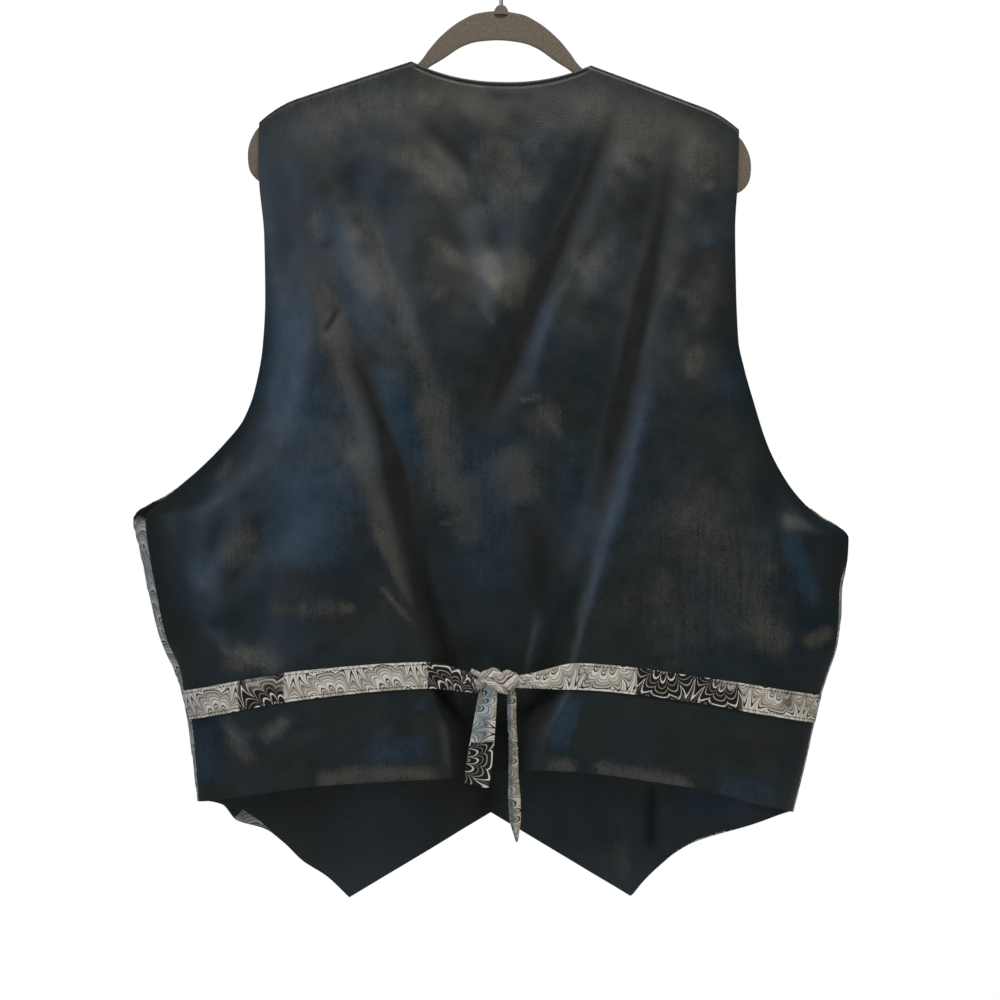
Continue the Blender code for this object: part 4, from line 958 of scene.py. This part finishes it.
def makeStrap(side):
    left = side == "left"
    columns = np.linspace(*((0.0, 1.0) if left else (3.0, 2.0)), belt["columns"])
    across = np.linspace(1.0, -1.0, belt["rows"])
    band = backPoints(columns, np.linspace(2.0, 3.0, len(across)))
    sign = -1.0 if left else 1.0
    normals = sign * gridNormals(band)
    lower = band + normals * belt["lift"]
    knotY = band[0, -1, 1] - belt["lift"] - belt["wall"]
    half, middle = belt["leftEnd"] if left else belt["rightEnd"]
    endX = np.full(len(across), belt["knotX"] + sign * belt["endReach"] * belt["knotHalf"])
    end = np.stack([endX, np.full(len(across), knotY + belt["endLift"]), middle + half * across], axis=-1)
    parts = np.linspace(0.0, 1.0, belt["freeSteps"] + 1)[1:]
    free = []
    for part in parts:
        place = mixTo(lower[:, -1], end, np.array([part, part, ease(part)]))
        place[:, 1] += belt["gatherDepth"] * part * np.cos(belt["gathers"] * np.pi * across)
        free.append(place)
    lower = np.concatenate([lower, np.stack(free, axis=1)], axis=1)
    outward = sign * gridNormals(lower)
    upper = lower + outward * belt["wall"]
    plan = beltPrint[side]
    cloth = clothLengths(upper)
    middleRow = len(across) // 2
    order = np.argsort(upper[middleRow, :, 0])
    stem = np.interp(plan["stemX"], upper[middleRow, order, 0], cloth[middleRow, order, 0])
    cloth[..., 0] += printValues["fanMm"] / 200.0 - stem
    cloth[..., 1] = cloth[..., 1] - cloth[-1:, :, 1] if left else -cloth[..., 1]
    cloth[..., 1] += belt["stemIn"] / 100.0
    marks = {"dark": np.interp(upper[..., 0], plan["x"], plan["dark"])}
    piece = addWall("beltStrap_" + side, upper, lower, printCloth, cloth, marks)
    settle(piece, "marbled_print", "belt_" + side)
    sewn = upper[:, :belt["columns"]]
    sewnOut = outward[:, :belt["columns"]]
    rows = (len(across) - 1) * np.array([belt["stitchIn"], 1.0 - belt["stitchIn"]])
    lines = []
    for row in rows:
        upperRow = int(row)
        part = row - upperRow
        lines.append((mixTo(sewn[upperRow], sewn[upperRow + 1], part), sewnOut[upperRow]))
    lines.append((sewn[1:-1, -2], sewnOut[1:-1, -2]))
    if not left:
        parts = np.linspace(0.0, 1.0, belt["crossSteps"])
        steps = np.rint(mixTo(*belt["crossRows"], parts)).astype(int)
        run = belt["columns"] - 1 - np.rint(mixTo(*belt["crossColumns"], parts)).astype(int)
        lines.append((sewn[steps, run], sewnOut[steps, run]))
        lines.append((sewn[steps[::-1], run], sewnOut[steps[::-1], run]))
    stitches = addStitches("beltStitches_" + side, lines, belt, blackThread)
    return knotY


knotY = makeStrap("left")
makeStrap("right")


# The knot: gathered cloth that goes round, over and through, as fluted tubes on smooth paths

knot = {"rings": 56, "sides": 36, "flutes": 5.0, "fluteDepth": 0.13, "twist": 5.0, "wideMm": 16.0}
knotPaths = {
    "loop": rowsOf(
        "x y z wide deep", (-20.0, 1.5, -661.0, 3.0, 2.2), (-17.5, -2.5, -655.0, 4.2, 3.0),
        (-13.5, -5.0, -649.6, 4.6, 3.4), (-7.0, -5.6, -647.2, 4.6, 3.4), (-2.6, -4.0, -650.5, 4.4, 3.2),
        (-0.8, -1.0, -657.0, 4.0, 3.0), (-2.0, 2.0, -662.0, 3.0, 2.4)),
    "lump": rowsOf(
        "x y z wide deep", (-12.0, 1.0, -657.0, 4.0, 3.0), (-6.0, -2.2, -656.0, 6.4, 5.0),
        (0.0, -4.2, -654.6, 8.0, 6.0), (5.6, -4.4, -653.4, 8.4, 6.2), (10.5, -3.0, -653.6, 7.0, 5.4),
        (14.5, -0.6, -654.4, 4.6, 3.4), (17.5, 0.8, -654.6, 3.2, 2.4)),
    "wrap": rowsOf(
        "x y z wide deep", (-26.0, 0.6, -645.0, 2.0, 1.3), (-17.0, -4.4, -650.0, 2.4, 1.6),
        (-9.5, -8.0, -655.0, 2.9, 2.0), (-3.0, -8.6, -659.0, 3.2, 2.2), (3.0, -6.0, -662.0, 2.8, 2.0),
        (6.0, -1.0, -663.6, 2.2, 1.6)),
}


def addTube(name, rows, values, material):
    keys = rowsOf("t " + " ".join(rows[0]._fields), *[(i, *row) for i, row in enumerate(rows)])
    t = np.linspace(0.0, len(rows) - 1.0, values["rings"])
    x, y, z, wide, deep = [curveOf(keys, "t", column)(t) for column in rows[0]._fields]
    centre = np.stack([x, y + knotY, z], axis=-1)
    along = np.gradient(centre, axis=0)
    along /= np.linalg.norm(along, axis=1, keepdims=True)
    side = np.cross(along, np.array([0.0, -1.0, 0.0]))
    side /= np.linalg.norm(side, axis=1, keepdims=True)
    out = np.cross(side, along)
    angle = np.linspace(0.0, 2 * np.pi, values["sides"], endpoint=False)
    wave = np.cos(values["flutes"] * angle[None] + values["twist"] * t[:, None])
    flute = 1.0 + values["fluteDepth"] * wave
    ringSide = (wide[:, None] * np.cos(angle)[None] * flute)[..., None] * side[:, None]
    ringOut = (deep[:, None] * np.sin(angle)[None] * flute)[..., None] * out[:, None]
    points = centre[:, None] + ringSide + ringOut
    rings, sides = points.shape[:2]
    index = np.arange(rings * sides).reshape(rings, sides)
    after = np.roll(index, -1, axis=1)
    faces = np.stack([index[:-1], after[:-1], after[1:], index[1:]], axis=-1).reshape(-1, 4).tolist()
    faces += [index[0, ::-1].tolist(), index[-1].tolist()]
    reach = np.concatenate([[0.0], np.cumsum(np.linalg.norm(np.diff(centre, axis=0), axis=1))])
    around = np.abs(angle / np.pi - 1.0) * values["wideMm"]
    cloth = np.stack(np.meshgrid(reach, around, indexing="ij"), axis=-1).reshape(-1, 2) / 100.0
    return addPiece(name, points, faces, material, cloth)


tubes = [addTube(name, rows, knot, printCloth) for name, rows in knotPaths.items()]
selectOnly(*tubes)
bpy.ops.object.join()
knotPiece = tubes[0]
knotPiece.name = "beltKnot"
settle(knotPiece, "marbled_print", "belt_knot")


# The belt's free ends: a broad one that hangs flat and a narrow one folded along its length

tails = {
    "left": {"wall": 1.2, "steps": 90, "sides": 21, "ridge": -1.2, "sway": 1.3, "swayMm": 26.0,
             "flat": (0.021, 0.088), "held": "hung", "stemZ": -697.0, "darkZ": -703.0, "coolSide": 0.6},
    "right": {"wall": 1.0, "steps": 110, "sides": 25, "ridge": 9.5, "sway": 0.7, "swayMm": 15.0,
              "flat": (0.022, 0.136), "held": "folded", "stemZ": -690.0, "darkZ": -900.0, "coolSide": -0.1},
    "both": {"narrowMm": 4.0, "swayFrom": 20.0, "swayTwist": 1.2, "lift": 0.5, "darkShare": 0.8,
             "darkFade": 6.0, "coolFade": 0.3},
}
tailRows = {
    "left": rowsOf(
        "x z half slant", (-10.5, -657.0, 6.4, 1.0), (-11.6, -666.0, 8.0, 0.6), (-13.2, -678.0, 8.8, 0.0),
        (-15.2, -696.0, 9.9, -0.4), (-17.2, -712.0, 10.6, -1.2), (-20.4, -735.0, 10.9, -2.2),
        (-21.7, -745.0, 10.9, -2.6)),
    "right": rowsOf(
        "x z half slant", (7.4, -656.0, 3.4, 0.6), (9.0, -668.0, 4.0, 0.4), (9.4, -690.0, 3.8, 0.0),
        (10.6, -712.0, 4.0, 0.0), (10.8, -735.0, 4.3, 0.0), (11.6, -758.0, 5.4, 0.0),
        (12.2, -774.0, 5.0, 0.4), (13.4, -788.0, 2.4, 0.8), (13.8, -794.0, 0.9, 0.6)),
}


def makeTail(side):
    values = dict(tails["both"], **tails[side])
    rows = tailRows[side]
    heights = np.linspace(rows[0].z, rows[-1].z, values["steps"])
    x, half, slant = [curveOf(rows, "z", name)(heights)[:, None] for name in ("x", "half", "slant")]
    across = np.linspace(-1.0, 1.0, values["sides"])[None]
    drop = (rows[0].z - heights)[:, None]
    wave = values["sway"] * np.sin(drop / values["swayMm"] * np.pi + values["swayTwist"] * across)
    narrow = ease(half / values["narrowMm"])
    fold = values["ridge"] * (np.abs(across) - 0.5) * narrow
    y = knotY + fold + wave * ease(drop / values["swayFrom"]) - values["lift"]
    outer = np.stack([x + half * across + 0 * y, y, heights[:, None] + slant * across + 0 * y], axis=-1)
    normals = gridNormals(outer)
    normals *= -np.sign(normals[..., 1:2])
    along = printValues["fanMm"] / 2 + values["stemZ"] - outer[..., 2]
    cloth = np.stack([along, belt["stemIn"] + half * (1.0 + across) + 0 * y], axis=-1) / 100.0
    dark = values["darkShare"] * ease((values["darkZ"] - outer[..., 2]) / values["darkFade"])
    # painted cool light: one side of each free end is tinted blue-grey
    cool = ease((values["coolSide"] - across) / values["coolFade"]) * (1.0 - dark)
    piece = addWall("beltTail_" + side, outer, outer - normals * values["wall"], printCloth, cloth,
                    {"dark": dark, "cool": cool})
    settle(piece, "marbled_print", "belt_tail_" + side)


makeTail("left")
makeTail("right")
print("belt, knot and free ends made")


# Hanger with its hook

hanger = {"thick": 5.0, "round": 1.9, "roundSteps": 4, "curveSteps": 10, "nubTop": -58.2, "nubSides": 40,
          "weldMm": 0.01, "sharp": 40.0,
          "armStations": (97.0, 125.0, 155.0, 180.0, 195.0, 207.0), "armDrop": 3.7, "endDrop": 2.0,
          "endStart": 165.0, "shiftX": -1.5}
archTop = rowsOf(
    "half z", (17.7, -65.7), (31.0, -71.1), (50.4, -85.7), (62.5, -99.5), (69.0, -108.5), (75.0, -114.0),
    (82.0, -116.8))
armEnd = rowsOf("half z", (216.5, -176.0), (222.6, -199.0), (216.5, -216.0), (203.0, -221.0))
armUnder = rowsOf(
    "half z", (180.0, -211.0), (150.0, -186.5), (124.0, -166.0), (97.0, -146.0), (79.0, -130.0),
    (64.5, -116.5), (50.4, -107.5), (31.0, -95.0), (16.0, -90.8))
# turned dome of the nub round the hook's stem
nubProfile = rowsOf(
    "radius z", (6.9, -67.0), (6.5, -64.6), (5.8, -62.4), (4.6, -60.2), (3.2, -58.9), (1.9, -58.4))


def toMesh(piece):
    selectOnly(piece)
    bpy.ops.object.convert(target="MESH")
    bpy.ops.object.transform_apply(location=True, rotation=True, scale=True)
    bpy.ops.object.mode_set(mode="EDIT")
    bpy.ops.mesh.select_all(action="SELECT")
    bpy.ops.mesh.remove_doubles(threshold=hanger["weldMm"] * mm)
    bpy.ops.mesh.normals_make_consistent(inside=False)
    bpy.ops.object.mode_set(mode="OBJECT")
    bpy.ops.object.shade_smooth_by_angle(angle=math.radians(hanger["sharp"]))


def makeHanger():
    half = [tuple(row) for row in archTop]
    for station in hanger["armStations"]:
        part = ease((station - hanger["endStart"]) / (-form["tipLeft"] - hanger["endStart"]))
        level = ridgeZ(np.array(station)) + form["tilt"] * station
        half.append((station, float(level - hanger["armDrop"] - hanger["endDrop"] * part)))
    half += [tuple(row) for row in armEnd + armUnder]
    outline = half + [(-x, z) for x, z in reversed(half)]
    shape = bpy.data.curves.new("flockedHanger", "CURVE")
    shape.dimensions = "2D"
    shape.fill_mode = "BOTH"
    shape.resolution_u = hanger["curveSteps"]
    shape.render_resolution_u = hanger["curveSteps"]
    shape.extrude = (hanger["thick"] / 2 - hanger["round"]) * mm
    shape.bevel_depth = hanger["round"] * mm
    shape.bevel_resolution = hanger["roundSteps"]
    shape.offset = -hanger["round"] * mm
    spline = shape.splines.new("BEZIER")
    spline.use_cyclic_u = True
    spline.bezier_points.add(len(outline) - 1)
    for node, (x, z) in zip(spline.bezier_points, outline):
        node.co = ((x + hanger["shiftX"]) * mm, (z - form["tilt"] * x) * mm, 0.0)
        node.handle_left_type = "AUTO"
        node.handle_right_type = "AUTO"
    body = bpy.data.objects.new("flockedHanger", shape)
    bpy.context.scene.collection.objects.link(body)
    body.rotation_euler = (math.pi / 2, 0.0, 0.0)
    shape.materials.append(flock)
    toMesh(body)
    bpy.ops.object.select_all(action="DESELECT")
    bpy.ops.mesh.primitive_circle_add(vertices=hanger["nubSides"], radius=nubProfile[0].radius * mm,
                                      location=(0.0, 0.0, nubProfile[0].z * mm))
    nub = bpy.context.object
    bpy.ops.object.mode_set(mode="EDIT")
    bpy.ops.mesh.select_all(action="SELECT")
    for before, row in zip(nubProfile, nubProfile[1:]):
        up = (0.0, 0.0, (row.z - before.z) * mm)
        bpy.ops.mesh.extrude_region_move(TRANSFORM_OT_translate={"value": up})
        share = row.radius / before.radius
        bpy.ops.transform.resize(value=(share, share, 1.0))
    bpy.ops.mesh.edge_face_add()
    bpy.ops.object.mode_set(mode="OBJECT")
    toMesh(nub)
    nub.data.materials.append(flock)
    selectOnly(body, nub)
    bpy.ops.object.join()
    settle(body, "taupe_flock", "hanger_body")


hook = {"radius": 20.0, "wire": 1.75, "stemTop": -45.0, "sunk": 1.0, "steps": 28, "tipSteps": 8, "sides": 6}


def makeHook():
    centreZ = hook["wire"] - hook["radius"]
    path = [(0.0, hanger["nubTop"] - hook["sunk"]), (0.0, hook["stemTop"])]
    for step in range(1, hook["steps"]):
        part = step / hook["steps"]
        path.append((hook["radius"] * float(ease(part)), mixTo(hook["stemTop"], centreZ, part)))
    for step in range(2 * hook["steps"] + hook["tipSteps"]):
        angle = math.pi * step / (2 * hook["steps"])
        path.append((hook["radius"] * math.cos(angle), centreZ + hook["radius"] * math.sin(angle)))
    wire = bpy.data.curves.new("steelHook", "CURVE")
    wire.dimensions = "3D"
    wire.bevel_depth = hook["wire"] * mm
    wire.bevel_resolution = hook["sides"]
    wire.use_fill_caps = True
    spline = wire.splines.new("POLY")
    spline.points.add(len(path) - 1)
    for node, (x, z) in zip(spline.points, path):
        node.co = (x * mm, 0.0, z * mm, 1.0)
    piece = bpy.data.objects.new("steelHook", wire)
    bpy.context.scene.collection.objects.link(piece)
    wire.materials.append(steel)
    toMesh(piece)
    settle(piece, "plated_steel", "hanger_hook")


makeHanger()
makeHook()
print("hanger and hook made")


# Buttons of the front: turned faces with a raised rim, four holes and thread

button = {"count": 5, "topZ": -428.0, "pitch": 80.0, "radius": 7.5, "thick": 2.6, "sides": 48, "rim": 1.3,
          "rimFall": 0.6, "dish": 0.8, "bevel": 0.45, "bevelSteps": 4, "holeRadius": 0.95, "holeSides": 20,
          "holeOut": 1.7, "diagonal": 0.707, "drill": 10.0, "sharp": 35.0, "leanSpan": 4.0,
          "threadPast": 0.5, "threadHalf": 0.45, "threadRise": 0.5}


def modelButton():
    bpy.ops.object.select_all(action="DESELECT")
    bpy.ops.mesh.primitive_cylinder_add(vertices=button["sides"], radius=button["radius"] * mm,
                                        depth=button["thick"] * mm,
                                        location=(0.0, 0.0, button["thick"] / 2 * mm))
    model = bpy.context.object
    bpy.ops.object.mode_set(mode="EDIT")
    bpy.ops.mesh.select_all(action="DESELECT")
    shape = bmesh.from_edit_mesh(model.data)
    for face in shape.faces:
        face.select_set(face.normal.z > 0.9)
    bmesh.update_edit_mesh(model.data)
    bpy.ops.mesh.inset(thickness=button["rim"] * mm)
    bpy.ops.mesh.inset(thickness=button["rimFall"] * button["rim"] * mm, depth=-button["dish"] * mm)
    bpy.ops.object.mode_set(mode="OBJECT")
    rounding = model.modifiers.new("rounding", "BEVEL")
    rounding.width = button["bevel"] * mm
    rounding.segments = button["bevelSteps"]
    rounding.limit_method = "ANGLE"
    bpy.ops.object.modifier_apply(modifier="rounding")
    for turn in range(4):
        angle = math.pi / 4 + turn * math.pi / 2
        place = [button["holeOut"] * mm * f(angle) for f in (math.cos, math.sin)]
        bpy.ops.mesh.primitive_cylinder_add(vertices=button["holeSides"], radius=button["holeRadius"] * mm,
                                            depth=button["drill"] * mm, location=(*place, 0.0))
        drill = bpy.context.object
        bpy.context.view_layer.objects.active = model
        cut = model.modifiers.new("hole", "BOOLEAN")
        cut.operation = "DIFFERENCE"
        cut.object = drill
        bpy.ops.object.modifier_apply(modifier="hole")
        bpy.data.objects.remove(drill)
    selectOnly(model)
    bpy.ops.object.shade_smooth_by_angle(angle=math.radians(button["sharp"]))
    model.data.materials.append(resin)
    return model


def makeButtons():
    model = modelButton()
    x = (form["frontEdgeLeft"] + form["frontEdgeRight"]) / 2
    reach = button["holeOut"] * button["diagonal"]
    past = reach + button["threadPast"]
    span = button["leanSpan"]
    threads = []
    for number in range(button["count"]):
        z = button["topZ"] - number * button["pitch"]
        node = "button_" + str(number + 1)
        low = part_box(node)[0]
        upper, lower = leftFrontDepth(np.array([x, x]), np.array([z + span, z - span]))
        lean = math.atan2(upper - lower, 2 * span)
        copy = model.copy()
        copy.data = model.data.copy()
        copy.name = "resinButton_" + str(number + 1)
        bpy.context.scene.collection.objects.link(copy)
        copy.rotation_euler = (-math.pi / 2 - lean, 0.0, 0.0)
        copy.location = (x * mm, low[1], z * mm)
        selectOnly(copy)
        bpy.ops.object.transform_apply(location=True, rotation=True, scale=True)
        settle(copy, "black_resin", node)
        face = low[1] / mm + button["thick"] - button["dish"]
        for height in (-reach, reach):
            line = np.array([[x - past, face, z + height], [x + past, face, z + height]])
            threads.append((line, np.array([[0.0, 1.0, 0.0]] * 2)))
    bpy.data.objects.remove(model)
    sewing = {"stitchLong": 2 * reach + button["threadPast"], "stitchStep": button["pitch"] / 2,
              "stitchHalf": button["threadHalf"], "stitchRise": button["threadRise"]}
    addStitches("buttonThread", threads, sewing, blackThread)


makeButtons()
print("buttons made")


# Stage, light and camera, placed in metres

stage = {"floorZ": -1.25, "floorSize": 3.2, "skyColour": "#d9e6ea", "skyStrength": 0.15}
bpy.ops.mesh.primitive_plane_add(size=stage["floorSize"], location=(0.0, 0.0, stage["floorZ"]))
floor = bpy.context.object
floor.name = "floor"
# matt backdrop paper: nearly even, with a faint cloud of fibres drawn far coarser than real
paperValues = {"dark": "#e9e7e3", "light": "#efede9", "grainMm": 50 / 3, "detail": 3.0}
floor.data.materials.append(grainedMaterial("palePaper", paperValues, Roughness=0.9))

camera = {"distance": 3.0, "aimX": -0.0010, "aimZ": -0.4963, "view": 0.885}
lens = bpy.data.cameras.new("camera")
lens.sensor_width = 36.0
lens.lens = lens.sensor_width * camera["distance"] / camera["view"]
eye = bpy.data.objects.new("camera", lens)
eye.location = (camera["aimX"], -camera["distance"], camera["aimZ"])
eye.rotation_euler = (math.pi / 2, 0.0, 0.0)
bpy.context.scene.collection.objects.link(eye)
bpy.context.scene.camera = eye

lights = rowsOf(
    "name x y z aimX aimZ width height watts colour",
    ("warmKey", 0.45, -1.9, 1.45, 0.0, -0.4, 1.6, 0.9, 39.0, "#fff6ec"),
    ("coolSide", -1.5, -2.4, 0.3, -0.05, -0.5, 1.0, 1.6, 13.0, "#cfe3ff"),
    ("frontFill", 0.0, 2.2, 0.6, 0.0, -0.5, 2.0, 1.4, 40.0, "#ffffff"),
)
for row in lights:
    lamp = bpy.data.lights.new(row.name, "AREA")
    lamp.shape = "RECTANGLE"
    lamp.size = row.width
    lamp.size_y = row.height
    lamp.energy = row.watts
    lamp.color = linear(row.colour)[:3]
    holder = bpy.data.objects.new(row.name, lamp)
    holder.location = (row.x, row.y, row.z)
    toward = np.array([row.aimX - row.x, -row.y, row.aimZ - row.z])
    pitch = math.atan2(math.hypot(toward[0], toward[1]), -toward[2])
    holder.rotation_euler = (pitch, 0.0, math.atan2(toward[0], -toward[1]) + math.pi)
    bpy.context.scene.collection.objects.link(holder)

world = bpy.data.worlds.new("studio")
bpy.context.scene.world = world
world.use_nodes = True
sky = world.node_tree
background = sky.nodes["Background"]
background.inputs["Color"].default_value = linear(stage["skyColour"])
background.inputs["Strength"].default_value = stage["skyStrength"]
white = addNode(sky, "Background", Color=(1.0, 1.0, 1.0, 1.0), Strength=1.0)
path = addNode(sky, "LightPath")
seen = addNode(sky, "MixShader", i0=path.outputs["Is Camera Ray"], i1=background.outputs[0],
               i2=white.outputs[0])
sky.links.new(seen.outputs[0], sky.nodes["World Output"].inputs["Surface"])
bpy.context.scene.view_settings.view_transform = "Standard"
print("stage, light and camera made")
